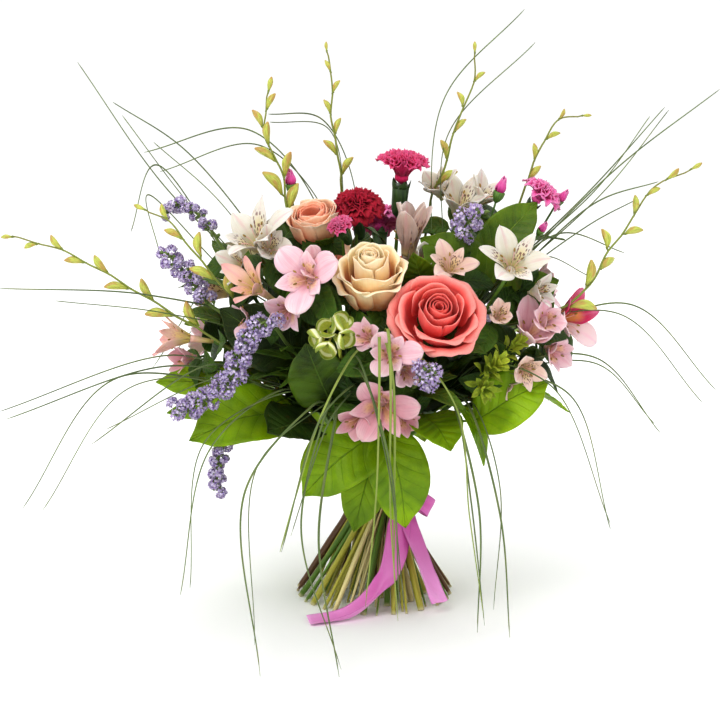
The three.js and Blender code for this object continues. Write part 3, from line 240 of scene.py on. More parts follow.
GRASS = rows(
    "name root blades",
    ("bear_grass_left", [-52, -30, 172], [[[-96, -42, 230], [-172, -60, 256], [-287, -62, 262]],
     [[-92, -56, 190], [-160, -76, 204], [-281, -90, 166]], [[-86, -52, 178], [-200, -66, 192],
     [-274, -70, 90]], [[-84, -64, 184], [-124, -108, 212], [-211, -126, 156]]]),
    ("bear_grass_front", [-34, -56, 168], [[[-70, -96, 190], [-124, -122, 150], [-146, -142, 44]],
     [[-48, -118, 182], [-96, -164, 128], [-84, -202, 2.5]], [[-30, -116, 176], [-42, -172, 96],
     [-27, -203, 2.5]], [[-16, -118, 200], [-42, -170, 182], [-69, -176, 88]], [[-12, -138, 214],
     [10, -172, 150], [17, -158, 38]]]),
    ("bear_grass_right", [52, -36, 172], [[[58, -104, 182], [76, -138, 110], [78, -109, 2.5]],
     [[70, -100, 178], [92, -136, 104], [102, -120, 2.5]], [[90, -82, 200], [146, -94, 186],
     [180, -92, 80]], [[96, -58, 200], [170, -54, 206], [222, -52, 146]], [[98, -40, 210], [196, -42, 246],
     [266, -42, 178]]]),
    ("bear_grass_upper_right", [52, 2, 206], [[[104, -10, 262], [190, -4, 348], [268, 2, 408]],
     [[98, 6, 256], [172, 2, 332], [226, 4, 394]], [[112, 4, 262], [176, 14, 318], [225, 18, 334]],
     [[96, 36, 246], [150, 34, 290], [202, 36, 274]], [[44, -8, 300], [54, 10, 400], [116, 14, 469]]]),
    ("bear_grass_upper_left", [-44, 10, 212], [[[-94, -4, 262], [-164, -6, 332], [-231, 0, 429]],
     [[-78, 4, 270], [-148, 0, 360], [-205, 4, 398]], [[-40, 10, 300], [-98, 2, 376], [-180, -8, 360]],
     [[-108, 10, 262], [-172, -8, 350], [-190, -24, 300]], [[-14, 14, 310], [-42, 10, 384],
     [-84, 12, 388]]]),
    ("bear_grass_back", [2, 44, 178], [[[-36, 92, 226], [-70, 168, 236], [-84, 236, 120]], [[-10, 96, 226],
     [-14, 180, 220], [-20, 232, 90]], [[16, 90, 232], [40, 172, 244], [60, 250, 150]], [[44, 78, 206],
     [110, 160, 214], [160, 206, 110]], [[-56, 70, 214], [-130, 132, 238], [-196, 170, 150]]]),
)

# ---- Small blooms and buds between the large ones ----------------------------------------------

# Further flowers of the same alstroemeria stems, by petal colour.
SIDE_KEYS = "at faces reach wide open blunt"
SIDE_LILIES = dict(
    white=rows(
        SIDE_KEYS,
        ([-80, -68, 294], [0.25, -0.8, 0.5], 20, 14, 1.0),
        ([-104, -62, 280], [-0.6, -0.7, 0.2], 20, 13, 0.9),
        ([50, 2, 330], [-0.25, -0.4, 0.85], 22, 14, 0.9),
        ([84, 10, 322], [0.5, -0.3, 0.75], 22, 14, 0.9),
        ([36, -56, 284], [0.4, -0.7, 0.5], 16, 12, 0.7),
        ([122, -76, 262], [0.75, -0.6, 0.2], 18, 12, 0.8),
        ([136, 26, 210], [0.93, 0.25, 0.05], 23, 14, 1.0),
    ),
    blush=rows(
        SIDE_KEYS,
        ([92, -92, 246], [0.3, -0.75, 0.5], 15, 11, 0.9),
        ([104, -84, 190], [0.4, -0.8, -0.4], 14, 10, 0.8),
        ([-124, 6, 248], [-0.95, 0.05, 0.3], 25, 15, 1.1),
    ),
    pink=rows(
        SIDE_KEYS,
        ([-46, -92, 284], [0.3, -0.8, 0.45], 17, 14, 1.1, 1),
        ([-66, -100, 252], [-0.4, -0.85, -0.2], 20, 14, 1.1),
        ([-100, -80, 244], [-0.6, -0.7, -0.1], 18, 11, 0.8),
        ([-6, -124, 236], [-0.5, -0.8, 0.4], 17, 13, 1.1),
        ([22, -128, 212], [0.4, -0.85, -0.1], 17, 13, 1.0),
        ([136, -66, 214], [0.6, -0.7, -0.2], 20, 14, 0.9),
        ([128, -80, 240], [0.3, -0.8, 0.4], 20, 15, 0.8),
        ([130, 2, 252], [0.95, 0.0, 0.3], 25, 16, 1.1),
        ([-134, 22, 206], [-0.93, 0.25, 0.0], 23, 15, 1.0),
    ),
    mauve=rows(
        SIDE_KEYS,
        ([-12, -112, 172], [-0.4, -0.85, -0.3], 20, 14, 0.8),
        ([20, -110, 172], [0.4, -0.85, -0.3], 18, 13, 0.7),
        ([-146, -52, 206], [-0.8, -0.5, 0.0], 18, 11, 0.7),
    ),
)

PINK_BUDS = rows(
    "start at faces radius tall",
    ([80, 0, 236], [98, -14, 334], [0.3, -0.1, 0.9], 4.6, 8.5),
    ([-46, -6, 240], [-66, -14, 340], [-0.1, -0.1, 0.95], 4.6, 8),
    ([112, 8, 262], [148, 4, 324], [0.5, -0.3, 0.7], 3.6, 7),
    ([104, -20, 240], [130, -28, 304], [0.4, -0.5, 0.7], 3.2, 6),
)

# Lighter blades that hang in front of the blooms. Their paler tones are partly painted light, for the light
# at the bouquet's front.
LIGHT_GRASS = dict(
    name="light_grass",
    root=[2, -98, 214],
    blades=[
        [[2, -132, 240], [2, -158, 222], [0, -163, 130], [-8, -158, 40]],
        [[8, -134, 244], [10, -160, 216], [10, -165, 120], [16, -160, 30]],
        [[6, -130, 236], [12, -156, 210], [13, -160, 120], [13, -156, 62]],
        [[-12, -128, 228], [-38, -160, 190], [-58, -172, 130], [-70, -176, 88]],
        [[26, -128, 226], [58, -160, 190], [68, -160, 110], [80, -150, 30]],
    ],
)

GREEN_TIPS = rows(
    "start at leaves long",
    ([74, -84, 196], [92, -108, 214], 18, 17),
    ([76, -84, 194], [82, -112, 194], 16, 16),
    ([86, -74, 206], [108, -96, 228], 14, 15),
)

# ---- Shares, grids and loose leaves ------------------------------------------------------------

# Shares of a bloom's height or reach that lie behind its middle, and a carnation's height as a
# share of its radius. Then the radii of the knots that sprigs and tufts grow from, and the share of
# a knot's radius that it stands proud of its stem.
ROSE_SINK = 0.75
CARNATION_TALL = 1.15
CARNATION_SINK = 0.6
LILY_SINK = 0.45
LEAF_KNOT = 3.2
GRASS_KNOT = 3.6
KNOT_SEAT = 0.72

# Cells across and along each sort of blade, and its thickness where that isn't a setting.
BLADES = dict(
    rose_petal=(18, 16),
    sepal=(4, 8, 0.7),
    carnation_petal=(24, 8),
    carnation_tooth=(4, 5, 0.5),
    tepal=(10, 18),
    green_bract=(14, 12, 0.9),
    bud_petal=(10, 10, 0.5),
    broad_leaf=(16, 44),
    tip_leaf=(4, 12, 0.5),
    grass=(2, 70),
    ribbon_strip=(14, 70),
    ribbon_band=(14, 96),
    ribbon_knot=(12, 40),
)
# The loose leaves: shortest and longest, narrowest and broadest as shares of their length, the
# height of their waves, and their blade.
LOOSE_LEAVES = dict(
    stem_leaf=dict(long=(30, 56), broad=(0.22, 0.36), wavy=0.6, blade=(6, 20, 0.6)),
    inner_leaf=dict(long=(62, 96), broad=(0.46, 0.6), wavy=0.9, blade=(10, 26, 0.7)),
    bloom_leaf=dict(long=(30, 44), broad=(0.42, 0.58), wavy=0.5, blade=(8, 18, 0.6)),
)
# Share of a blade's thickness that is left along its border.
THIN_BORDER = 0.4

# ---- Colours -----------------------------------------------------------------------------------


def linear(code):
    """A web colour as linear red, green and blue."""
    parts = [int(code[i : i + 2], 16) / 255 for i in (1, 3, 5)]
    return tuple(p / 12.92 if p <= 0.04045 else ((p + 0.055) / 1.055) ** 2.4 for p in parts)


# Tones of the finishes that aren't settings, in the order that each finish takes them: fresh,
# deep, and the vein or the cut end for leaves and stems.
FINISH_TONES = dict(
    calyx="#3f5f2a #24401b #3f5f2a",
    bud_calyx="#6f9440 #3c6426 #6f9440",
    statice_stem="#8aa055 #56702f #8aa055",
    stem_leaf="#5f8420 #2a460c #8fae48",
    # Inner leaves: very dark, partly painted shade for the depth of the dome.
    inner_leaf="#426418 #142a06 #5c7c34",
    # Bloom leaves: dark, partly painted shade for the gaps between the blooms.
    bloom_leaf="#557c1c #1e3c0a #76963c",
    olive_leaf="#6f8f12 #3a5a08 #8aa63c",
    dark_leaf="#5c7c16 #182c08 #6f8f3c",
    green_tip="#d4e048 #93ae28 #eef0a4",
    # Light grass: paler tones, partly painted light on the blades at the front.
    light_grass="#b9c46c #7d9440",
    straw="#9a9a5c",
    bud_neck="#6f8436",
    green_cup="#c4ca5a #f4f4d6 #a3ac3a #5f7a26",
    floret_heart="#f7f2ea",
    stamens="#f3e6c6 #e6a7b4 #8a6b2c #c9a44c #6b5a4c",
    # Throat, dashes, stripe and the lower tepals of the lilies' marks.
    dark_marks="#e6d48c #5d1a30 #d99aa6",
    pale_marks="#f3d272 #c9708c #e59bad",
    two_toned_marks="#f2c830 #c9708c #f7b8cf #f9e3e4",
)


def shades(name):
    """The colours that a finish of this name has."""
    return [linear(code) for code in FINISH_TONES[name].split()]


# Petal colours: deep in the heart, over most of the petal, and along its rim.
PETAL_TONES = {
    "cream": ("#ff9648", "#ffeab8", "#fffbe0"),
    "coral": ("#ec3c38", "#ff827c", "#ffb8ae"),
    "peach": ("#f45c34", "#ffd2aa", "#fff0da"),
    "freesia": ("#d6c678", "#f4c4bc", "#f3a8b4"),
    "dusky": ("#a98074", "#cfb8ae", "#eadcd4"),
    "hot_pink": ("#98003f", "#dc0f66", "#f3649c"),
    "bright_pink": ("#c81f80", "#f25fb0", "#fba6d2"),
    "crimson": ("#3a000c", "#a00020", "#c80c3c"),
    "magenta": ("#a00a48", "#d42668", "#f08ab6"),
    "mauve": ("#b06c80", "#e2a9b4", "#f2d2d4"),
    "white": ("#cac4a2", "#e4ddd4", "#f7f3ee"),
    "blush": ("#d3b08c", "#ecc9bd", "#f7e2da"),
    "pink": ("#d48c9e", "#f1c9d2", "#fae5e6"),
    "statice": ("#a47fd0", "#cfb6ee", "#f4eafc"),
}

# Blooms whose petals look different from what their slot's colour gives.
OTHER_TONES = {
    "pink_carnation": "bright_pink",
    "back_pink_carnation": "bright_pink",
    "peach_freesia": "freesia",
    "pink_freesia": "freesia",
    "white_alstroemeria_side": "dusky",
}


# ---- Shapes ------------------------------------------------------------------------------------


class Path:
    """A smooth curve through points: centripetal Catmull-Rom, as in the part's source."""

    FINE = 240  # straight steps that its length is measured by

    def __init__(self, points):
        points = np.array(points, float)
        first = 2 * points[0] - points[1]
        last = 2 * points[-1] - points[-2]
        self.points = np.vstack([first, points, last])
        self.spans = len(points) - 1
        shares = np.linspace(0, 1, self.FINE)
        steps = np.linalg.norm(np.diff(self.at(shares), axis=0), axis=1)
        self.run = np.concatenate([[0], np.cumsum(steps)])
        self.length = self.run[-1]

    def at(self, share):
        """Points at these shares of the curve's own parameter."""
        place = np.clip(np.asarray(share, float), 0, 1) * self.spans
        span = np.minimum(place.astype(int), self.spans - 1)
        t = (place - span)[..., None]
        a, b, c, d = (self.points[span + k] for k in range(4))
        ab, bc, cd = (
            np.maximum(np.linalg.norm(q - p, axis=-1, keepdims=True), 1e-6) ** 0.5
            for p, q in ((a, b), (b, c), (c, d))
        )
        leave = ((b - a) / ab - (c - a) / (ab + bc) + (c - b) / bc) * bc
        arrive = ((c - b) / bc - (d - b) / (bc + cd) + (d - c) / cd) * bc
        square = 3 * (c - b) - 2 * leave - arrive
        return b + leave * t + square * t**2 + (2 * (b - c) + leave + arrive) * t**3

    def even(self, share):
        """Points at these shares of the curve's length."""
        fine = np.linspace(0, 1, self.FINE)
        return self.at(np.interp(np.asarray(share, float) * self.length, self.run, fine))

    def line(self, count):
        """This many points at even distances along the whole curve."""
        return self.even(np.linspace(0, 1, count))

    def heading(self, share):
        """Unit directions at these shares of the curve's length."""
        share = np.asarray(share, float)
        ahead = self.even(np.minimum(share + 0.01, 1))
        return unit(ahead - self.even(np.maximum(share - 0.01, 0)))


def vector(values):
    """Plain numbers as a point or direction to reckon with."""
    return np.array(values, float)


def unit(vectors):
    """The vectors with a length of one."""
    length = np.linalg.norm(vectors, axis=-1, keepdims=True)
    return vectors / np.maximum(length, 1e-9)


def stance(spec, back=None):
    """The direction a head faces, and the point this far behind its middle, or else its foot."""
    if back is None:
        if "reach" in spec:
            back = spec.get("tube", 0) + LILY_SINK * spec["reach"]
        elif "tall" in spec:
            back = ROSE_SINK * spec["tall"]
        else:
            back = CARNATION_SINK * CARNATION_TALL * spec["radius"]
    axis = unit(vector(spec["faces"]))
    return axis, vector(spec["at"]) - axis * back


def ray_round(ahead, angle, guide=(0.3, 0.2, 1)):
    """A direction square to the one ahead, turned round it from the guide's side."""
    aside = unit(np.cross(ahead, guide))
    return math.cos(angle) * aside + math.sin(angle) * np.cross(ahead, aside)


def round_axis(radius, angle, height):
    """Points round the Z axis."""
    radius, angle, height = np.broadcast_arrays(radius, angle, height)
    return np.stack([radius * np.cos(angle), radius * np.sin(angle), height], axis=-1)


def turn_to(axis):
    """The matrix that turns +Z to an axis by the shortest way."""
    return np.array(Vector((0, 0, 1)).rotation_difference(Vector(axis)).to_matrix())


def risen(share):
    """Eases from 0 to 1 and stays there."""
    return np.sin(np.clip(share, 0, 1) * (math.pi / 2))


def soft_step(low, high, value):
    """Eases from 0 to 1 between two values."""
    share = np.clip((value - low) / (high - low), 0, 1)
    return share * share * (3 - 2 * share)


class Skin:
    """The points, faces and painted values of one piece, gathered part by part.

    The painted values are what the finishes read: along and aside run over a petal or leaf, draw
    is one number for each petal, and kind tells sorts of petals apart or counts their layers."""

    PAINTS = ("along", "aside", "draw", "kind")

    def __init__(self):
        self.points = []
        self.faces = []
        self.paints = {name: [] for name in self.PAINTS}
        self.count = 0
        self.place()

    def place(self, base=(0, 0, 0), axis=(0, 0, 1)):
        """What is added next stands on this base, with its own Z along this axis."""
        self.base = vector(base)
        self.turn = turn_to(unit(vector(axis)))

    def stand(self, spec):
        """What is added next stands on a bloom's foot and faces as it does."""
        axis, base = stance(spec)
        self.place(base, axis)

    def add(self, points, faces, **paints):
        """Adds points, given in the frame that place() set, with their faces and painted values."""
        points = np.asarray(points, float).reshape(-1, 3)
        self.points.append(points @ self.turn.T + self.base)
        self.faces += [[corner + self.count for corner in face] for face in faces]
        for name in self.PAINTS:
            value = np.broadcast_to(np.asarray(paints.get(name, 0.0), float).ravel(), len(points))
            self.paints[name].append(value)
        self.count += len(points)

    def blade(self, surface, across, along, thick, **paints):
        """A thin closed blade round surface(u, v), with u over -1..1 and v over 0..1."""
        u = np.linspace(-1, 1, across + 1)[None, :]
        v = np.linspace(0, 1, along + 1)[:, None]
        middle = surface(u, v)
        normal = np.cross(np.gradient(middle, axis=1), np.gradient(middle, axis=0))
        small = np.linalg.norm(normal, axis=-1) < 1e-9
        normal[0][small[0]] = normal[1][small[0]]
        normal[-1][small[-1]] = normal[-2][small[-1]]
        rim = np.full(middle.shape[:2], 0.5 * thick)
        rim[:, [0, -1]] *= THIN_BORDER
        rim[[0, -1], :] *= THIN_BORDER
        lift = unit(normal) * rim[..., None]
        row = across + 1
        back = row * (along + 1)
        faces = []
        for a in range(back - row):
            if a % row < across:
                b, c, d = a + 1, a + row + 1, a + row
                faces += [(a, b, c, d), (back + a, back + d, back + c, back + b)]
        grid = np.arange(back).reshape(-1, row)
        border = [*grid[0, :-1], *grid[:-1, -1], *grid[-1, :0:-1], *grid[:0:-1, 0]]
        faces += [(p, back + p, back + q, q) for p, q in zip(border, border[1:] + border[:1])]
        points = np.concatenate([(middle + lift).reshape(-1, 3), (middle - lift).reshape(-1, 3)])
        grid_u, grid_v = np.broadcast_arrays(u, v)
        along, aside = (np.tile(grid.ravel(), 2) for grid in (grid_v, grid_u))
        self.add(points, faces, along=along, aside=aside, **paints)

    def tube(self, line, radii, sides, **paints):
        """A round rod along a line of points, closed at both ends."""
        line = np.asarray(line, float)
        heading = unit(np.gradient(line, axis=0))
        aside = np.cross(heading[0], (0, 0, 1) if abs(heading[0][2]) < 0.9 else (1, 0, 0))
        rings = []
        for centre, ahead, radius in zip(line, heading, np.broadcast_to(radii, len(line))):
            aside = unit(aside - ahead * (aside @ ahead))
            other = np.cross(ahead, aside)
            angle = np.linspace(0, math.tau, sides, endpoint=False)[:, None]
            rings.append(centre + radius * (np.cos(angle) * aside + np.sin(angle) * other))
        self.loft(rings, **paints)

    def loft(self, rings, **paints):
        """A closed skin over rings of points."""
        sides = len(rings[0])
        top = (len(rings) - 1) * sides
        faces = [range(sides)[::-1], range(top, top + sides)]
        for a in range(top):
            b = a - a % sides + (a + 1) % sides
            faces.append((a, b, b + sides, a + sides))
        along = np.repeat(np.linspace(0, 1, len(rings)), sides)
        aside = np.tile(np.linspace(-1, 1, sides), len(rings))
        self.add(np.concatenate(rings), faces, along=along, aside=aside, **paints)

    def turned(self, profile, sides, lobes=0, depth=0.0, **paints):
        """A turned body from [radius, height] pairs, with as many shallow lobes as asked."""
        angle = np.linspace(0, math.tau, sides, endpoint=False)
        swell = 1 + depth * np.cos(lobes * angle)
        self.loft([round_axis(radius * swell, angle, height) for radius, height in profile], **paints)

    def piece(self, name, finish):
        """Makes the object, in metres."""
        mesh = bpy.data.meshes.new(name)
        points = np.concatenate(self.points)
        points[:, 2] = np.maximum(points[:, 2], 0)  # cut ends stand flat on the table
        mesh.from_pydata((points * MM).tolist(), [], self.faces)
        for paint in self.PAINTS:
            attribute = mesh.attributes.new(paint, "FLOAT", "POINT")
            attribute.data.foreach_set("value", np.concatenate(self.paints[paint]))
        mesh.materials.append(finish)
        mesh.validate()
        mesh.shade_smooth()
        piece = bpy.data.objects.new(name, mesh)
        bpy.context.scene.collection.objects.link(piece)
        return piece


def settle(piece, slot, *nodes):
    """Every piece rides on the one body and stands for its CAD nodes. The slot is not used."""
    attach(piece, "root")
    if nodes:
        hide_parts(*nodes)
    return piece


# ---- Finishes ----------------------------------------------------------------------------------


class Wire:
    """A node's socket that shader maths can be written with."""

    def __init__(self, finish, socket):
        self.finish = finish
        self.socket = socket
        self.flat = socket.type == "VALUE"

    def _join(self, operation, other, swapped=False):
        flat = self.flat and (other.flat if isinstance(other, Wire) else np.isscalar(other))
        if not flat and np.isscalar(other):
            other = (other,) * 3
        first, second = (other, self) if swapped else (self, other)
        kind = "ShaderNodeMath" if flat else "ShaderNodeVectorMath"
        return self.finish.node(kind, dict(operation=operation), {0: first, 1: second})

    def __add__(self, other):
        return self._join("ADD", other)

    __radd__ = __add__

    def __mul__(self, other):
        return self._join("MULTIPLY", other)

    __rmul__ = __mul__

    def __sub__(self, other):
        return self._join("SUBTRACT", other)

    def __rsub__(self, other):
        return self._join("SUBTRACT", other, swapped=True)

    def __pow__(self, power):
        return self._join("POWER", power)

    def __abs__(self):
        return self.finish.node("ShaderNodeMath", dict(operation="ABSOLUTE"), {0: self})

    def steps(self, low, high):
        """Eases from 0 to 1 between two values."""
        settings = dict(interpolation_type="SMOOTHSTEP")
        return self.finish.node("ShaderNodeMapRange", settings, {0: self, 1: low, 2: high})


class Finish:
    """One material under construction."""

    def __init__(self, name):
        self.material = bpy.data.materials.new(name)
        self.material.use_nodes = True
        self.tree = self.material.node_tree
        self.tree.nodes.clear()

    def node(self, kind, settings=None, sockets=None, output=0):
        """Adds a node: its settings are set first, then its sockets get values or links."""
        made = self.tree.nodes.new(kind)
        for key, value in (settings or {}).items():
            setattr(made, key, value)
        for key, value in (sockets or {}).items():
            if isinstance(value, Wire):
                self.tree.links.new(value.socket, made.inputs[key])
            else:
                made.inputs[key].default_value = value
        return Wire(self, made.outputs[output]) if made.outputs else None

    def painted(self, names="along aside draw"):
        """Values painted on the mesh."""
        kind = "ShaderNodeAttribute"
        return [self.node(kind, dict(attribute_name=name), output=2) for name in names.split()]

    def vector(self, x=0.0, y=0.0, z=0.0):
        """One vector from three values."""
        return self.node("ShaderNodeCombineXYZ", {}, {0: x, 1: y, 2: z})

    def place(self):
        """The point on the object, in metres."""
        return self.node("ShaderNodeTexCoord", {}, {}, output=3)

    def noise(self, at, scale, detail=2.0, roughness=0.5):
        """Cloudy values from 0 to 1."""
        sockets = {"Vector": at, "Scale": scale, "Detail": detail, "Roughness": roughness}
        return self.node("ShaderNodeTexNoise", {}, sockets)

    def blend(self, share, low, high):
        """Mixes two colours."""
        low, high = (tone if isinstance(tone, Wire) else (*tone[:3], 1) for tone in (low, high))
        settings = dict(data_type="RGBA")
        return self.node("ShaderNodeMix", settings, {0: share, 6: low, 7: high}, output=2)

    def layered(self, colour, *layers):
        """Lays further colours over one, each by its own share."""
        for share, tone in layers:
            colour = self.blend(share, colour, tone)
        return colour

    def surface(self, colour, roughness=0.55, bump=None, depth=0.0002, **uniform):
        """Ends the material in a Principled shader. Uniform values are set on its own sockets."""
        sockets = {"Base Color": colour, "Roughness": roughness}
        if bump is not None:
            sockets["Normal"] = self.node("ShaderNodeBump", {}, {"Height": bump, "Distance": depth})
        for key, value in uniform.items():
            sockets[key.replace("_", " ").title().replace("Ior", "IOR")] = value
        shader = self.node("ShaderNodeBsdfPrincipled", {}, sockets)
        self.node("ShaderNodeOutputMaterial", {}, {0: shader})
        return self.material


GLOW = dict(subsurface_weight=0.18, subsurface_scale=0.004, subsurface_radius=(1.0, 0.6, 0.4))


def petal_finish(name, tones, streaks=None, rough=0.55, heart=None, veined=0.3, spread=(0.08, 0.6)):
    """Velvety petal: deep in the heart, paler to the rim, with fine veins that run to the rim."""
    deep, main, rim = (tone[:3] for tone in tones)
    paint = Finish(name)
    along, aside, draw = paint.painted()
    lengthwise = paint.vector(aside * 11.0, along * 0.9, draw * 37.0)
    veins = paint.noise(lengthwise, 2.2, detail=3.0)
    mottle = paint.noise(paint.place(), 120.0, detail=3.0)
    colour = paint.layered(deep, (along.steps(*spread), main), (along.steps(0.7, 1.05) * 0.85, rim))
    if heart:
        (layer,) = paint.painted("kind")
        colour = paint.blend((1 - layer.steps(0.1, 0.75)) * 0.75, colour, heart)
    colour = paint.layered(
        colour,
        (veins.steps(0.42, 0.7) * veined, deep),
        (mottle.steps(0.45, 0.8) * 0.25, rim),
        (draw * 0.2, deep),
    )
    if streaks:
        colour = streaks(paint, colour, along, aside, draw)
    bump = veins * 0.7 + mottle * 0.3
    sheen = 0.3 * sum(main) / 3
    return paint.surface(colour, rough, bump, 0.00035, sheen_weight=sheen, **GLOW)


def throat_streaks(throat, dash, stripe, below=None, strong=0.9):
    """Alstroemeria marks: a yellow throat, dashes on the narrow tepals and a faint stripe. The
    tepals on the flower's lower side may have a colour of their own."""

    def add(paint, colour, along, aside, draw):
        (narrow,) = paint.painted("kind")
        side = abs(aside)
        cells = paint.vector(aside * 4.2 + draw * 11.0, along * 7.0 + draw * 5.0, draw * 3.0)
        settings = dict(voronoi_dimensions="2D")
        dots = paint.node("ShaderNodeTexVoronoi", settings, {"Vector": cells, "Scale": 1.0})
        region = along.steps(0.12, 0.22) * (1 - along.steps(0.62, 0.82)) * (1 - side.steps(0.6, 0.95))
        band = along.steps(0.1, 0.3) * (1 - along.steps(0.45, 0.75))
        if below:
            colour = paint.blend((1 - draw.steps(0.1, 0.12)) * 0.85, colour, below)
        ridge = (1 - side.steps(0.0, 0.3)) * along.steps(0.25, 0.9) * 0.4
        return paint.layered(
            colour,
            ((1 - along.steps(0.0, 0.28)) * 0.6, throat),
            (narrow * band * (1 - side.steps(0.2, 0.9)) * 0.5, throat),
            (ridge * (1 - narrow * 0.6), stripe),
            ((1 - dots.steps(0.24, 0.34)) * region * narrow * strong, dash),
        )

    return add


# ---- Roses, carnations and lilies --------------------------------------------------------------


def wrapped_petal(u, v, petal):
    """A cupped petal that wraps round the axis. One side tucks in and the other laps over it; the
    upper part leans in or out, and the rim curls out and down, most at its shoulders."""
    side = np.abs(u)
    shoulder = v * (1 - petal["pointed"] * side**2.2 + petal["tip"] * np.exp(-((u / 0.16) ** 2)))
    curl = np.clip(shoulder - 0.66, 0, None) / 0.34
    upper = np.clip(shoulder - 0.5, 0, None) / 0.5
    swell = risen(shoulder / 0.62) ** 0.75
    pinch = 0.55 + 0.95 * np.exp(-(((side - 0.66) / 0.3) ** 2))
    root, reach, roll = petal["root"], petal["reach"], petal["roll"]
    radius = root + (reach - root) * swell * (1 + petal["lap"] * u) + petal["lean"] * reach * upper**2
    radius = radius + roll * pinch * curl**1.8
    height = petal["rise"] * risen(shoulder * 0.62) / risen(0.62) - roll * 0.95 * pinch * curl**2.6
    wave = petal["ruffle"] * np.sin(petal["waves"] * u + petal["phase"]) * v**4
    dent = -0.05 * reach * np.exp(-(((u - petal["crease"]) / 0.18) ** 2)) * np.sin(math.pi * v)
    angle = petal["turn"] + u * petal["half"] * risen(v / 0.5) * (1 - 0.12 * v**3)
    return round_axis(radius + 0.6 * wave + dent, angle, height + wave)


# Level of a petal from the heart out, and what its root, reach, rise, lean, roll and half angle
# are there. Lengths are shares of the rose's own radius and height.
ROSE_LEVELS = [-0.8, 0, 1, 2, 3]
ROSE_SHAPES = dict(
    root=[0.02, 0.08, 0.16, 0.24, 0.32],
    reach=[0.1, 0.27, 0.48, 0.72, 0.9],
    rise=[0.88, 0.98, 0.97, 0.86, 0.64],
    lean=[-0.34, -0.24, -0.1, 0.03, 0.1],
    roll=[0.012, 0.03, 0.07, 0.13, 0.18],
    half=[2.5, 1.75, 1.2, 0.96, 0.84],
    pointed=[0.05, 0.1, 0.13, 0.17, 0.2],
)
# Shares of the petals, and the share of the rose's top level that they stand at: a furled heart,
# a cup round it and, after a gap, the open outer rows.
ROSE_SHARES = [0, 0.34, 0.38, 0.56, 0.6, 1]
ROSE_STEPS = [-0.25, 0.05, 0.14, 0.44, 0.66, 1]


def build_rose(spec, petals, thick, finish):
    """A spiral of petals: a tight heart, a cup of wide petals and an outer row that falls open."""
    rng = np.random.default_rng(len(spec["name"]) + petals)
    tall = spec["tall"]
    top = spec["rings"] - 1
    outermost = {key: np.interp(top, ROSE_LEVELS, row) for key, row in ROSE_SHAPES.items()}
    wide = spec["radius"] / (outermost["reach"] * (1 + outermost["lean"]) + outermost["roll"])
    cup = spec.get("cup", 0)
    skin = Skin()
    skin.stand(spec)
    seat = (outermost["root"] + 0.04) * wide
    skin.turned([(0.4, 0), (seat, 0.3), (seat, 1.6), (1.5, 4), (0.4, 0.7 * tall)], 16, kind=0)
    for k in range(petals):
        share = k / (petals - 1)
        level = top * np.interp(share, ROSE_SHARES, ROSE_STEPS)
        shape = {key: np.interp(level, ROSE_LEVELS, row) for key, row in ROSE_SHAPES.items()}
        loose = 0.03 + 0.01 * share
        petal = dict(
            shape,
            root=shape["root"] * wide,
            reach=shape["reach"] * wide * (1 - 0.08 * cup * share) * (1 + rng.normal(0, loose)),
            rise=(shape["rise"] + cup * (0.3 - 0.1 * share)) * tall * (1 + rng.normal(0, loose * 0.6)),
            roll=shape["roll"] * wide * rng.uniform(0.75, 1.2),
            lean=shape["lean"] + 0.05 * share - 0.06 * cup,
            tip=0.05 * share,
            lap=rng.uniform(0.1, 0.17),
            turn=k * GOLDEN_ANGLE + rng.normal(0, 0.12),
            ruffle=wide * (0.008 + 0.022 * share) * spec.get("ruffle", 1),
            waves=rng.uniform(3.5, 6.5),
            phase=rng.uniform(*PHASES),
            crease=rng.uniform(-0.5, 0.5),
        )

        def surface(u, v):
            return wrapped_petal(u, v, petal)

        skin.blade(surface, *BLADES["rose_petal"], thick, draw=rng.uniform(), kind=share)
    return skin.piece(spec["name"] + "_petals", finish)


def build_sepals(specs, finish):
    """Five narrow green sepals under every rose, bent back on the bud's green base."""
    skin = Skin()
    for spec in specs:
        skin.stand(spec)
        seat = 0.3 * spec["radius"]
        profile = [(1.6, -6), (0.22 * seat + 1.8, -4.5), (0.5 * seat + 2, -1.2), (0.4 * seat + 1.5, 0.2)]
        skin.turned(profile, 14, kind=1, draw=0.4)
        for k in range(5):
            turn = k * math.tau / 5 + 0.3
            reach = 0.62 * spec["radius"]

            def surface(u, v):
                half = 0.17 * reach * np.sin(math.pi * np.clip(v * 0.9 + 0.1, 0, 1)) ** 0.7
                out = 0.3 * seat + reach * v
                height = -1.5 + 0.28 * reach * v**1.6 - 0.4 * np.abs(u) * half * 0.2
                across = round_axis(u * half, turn + math.pi / 2, 0 * v)
                return round_axis(out, turn, height) + across

            skin.blade(surface, *BLADES["sepal"], draw=k / 5)
    return skin.piece("rose_sepals", finish)


# Points along a fringed petal's toothed rim.
TEETH = 25


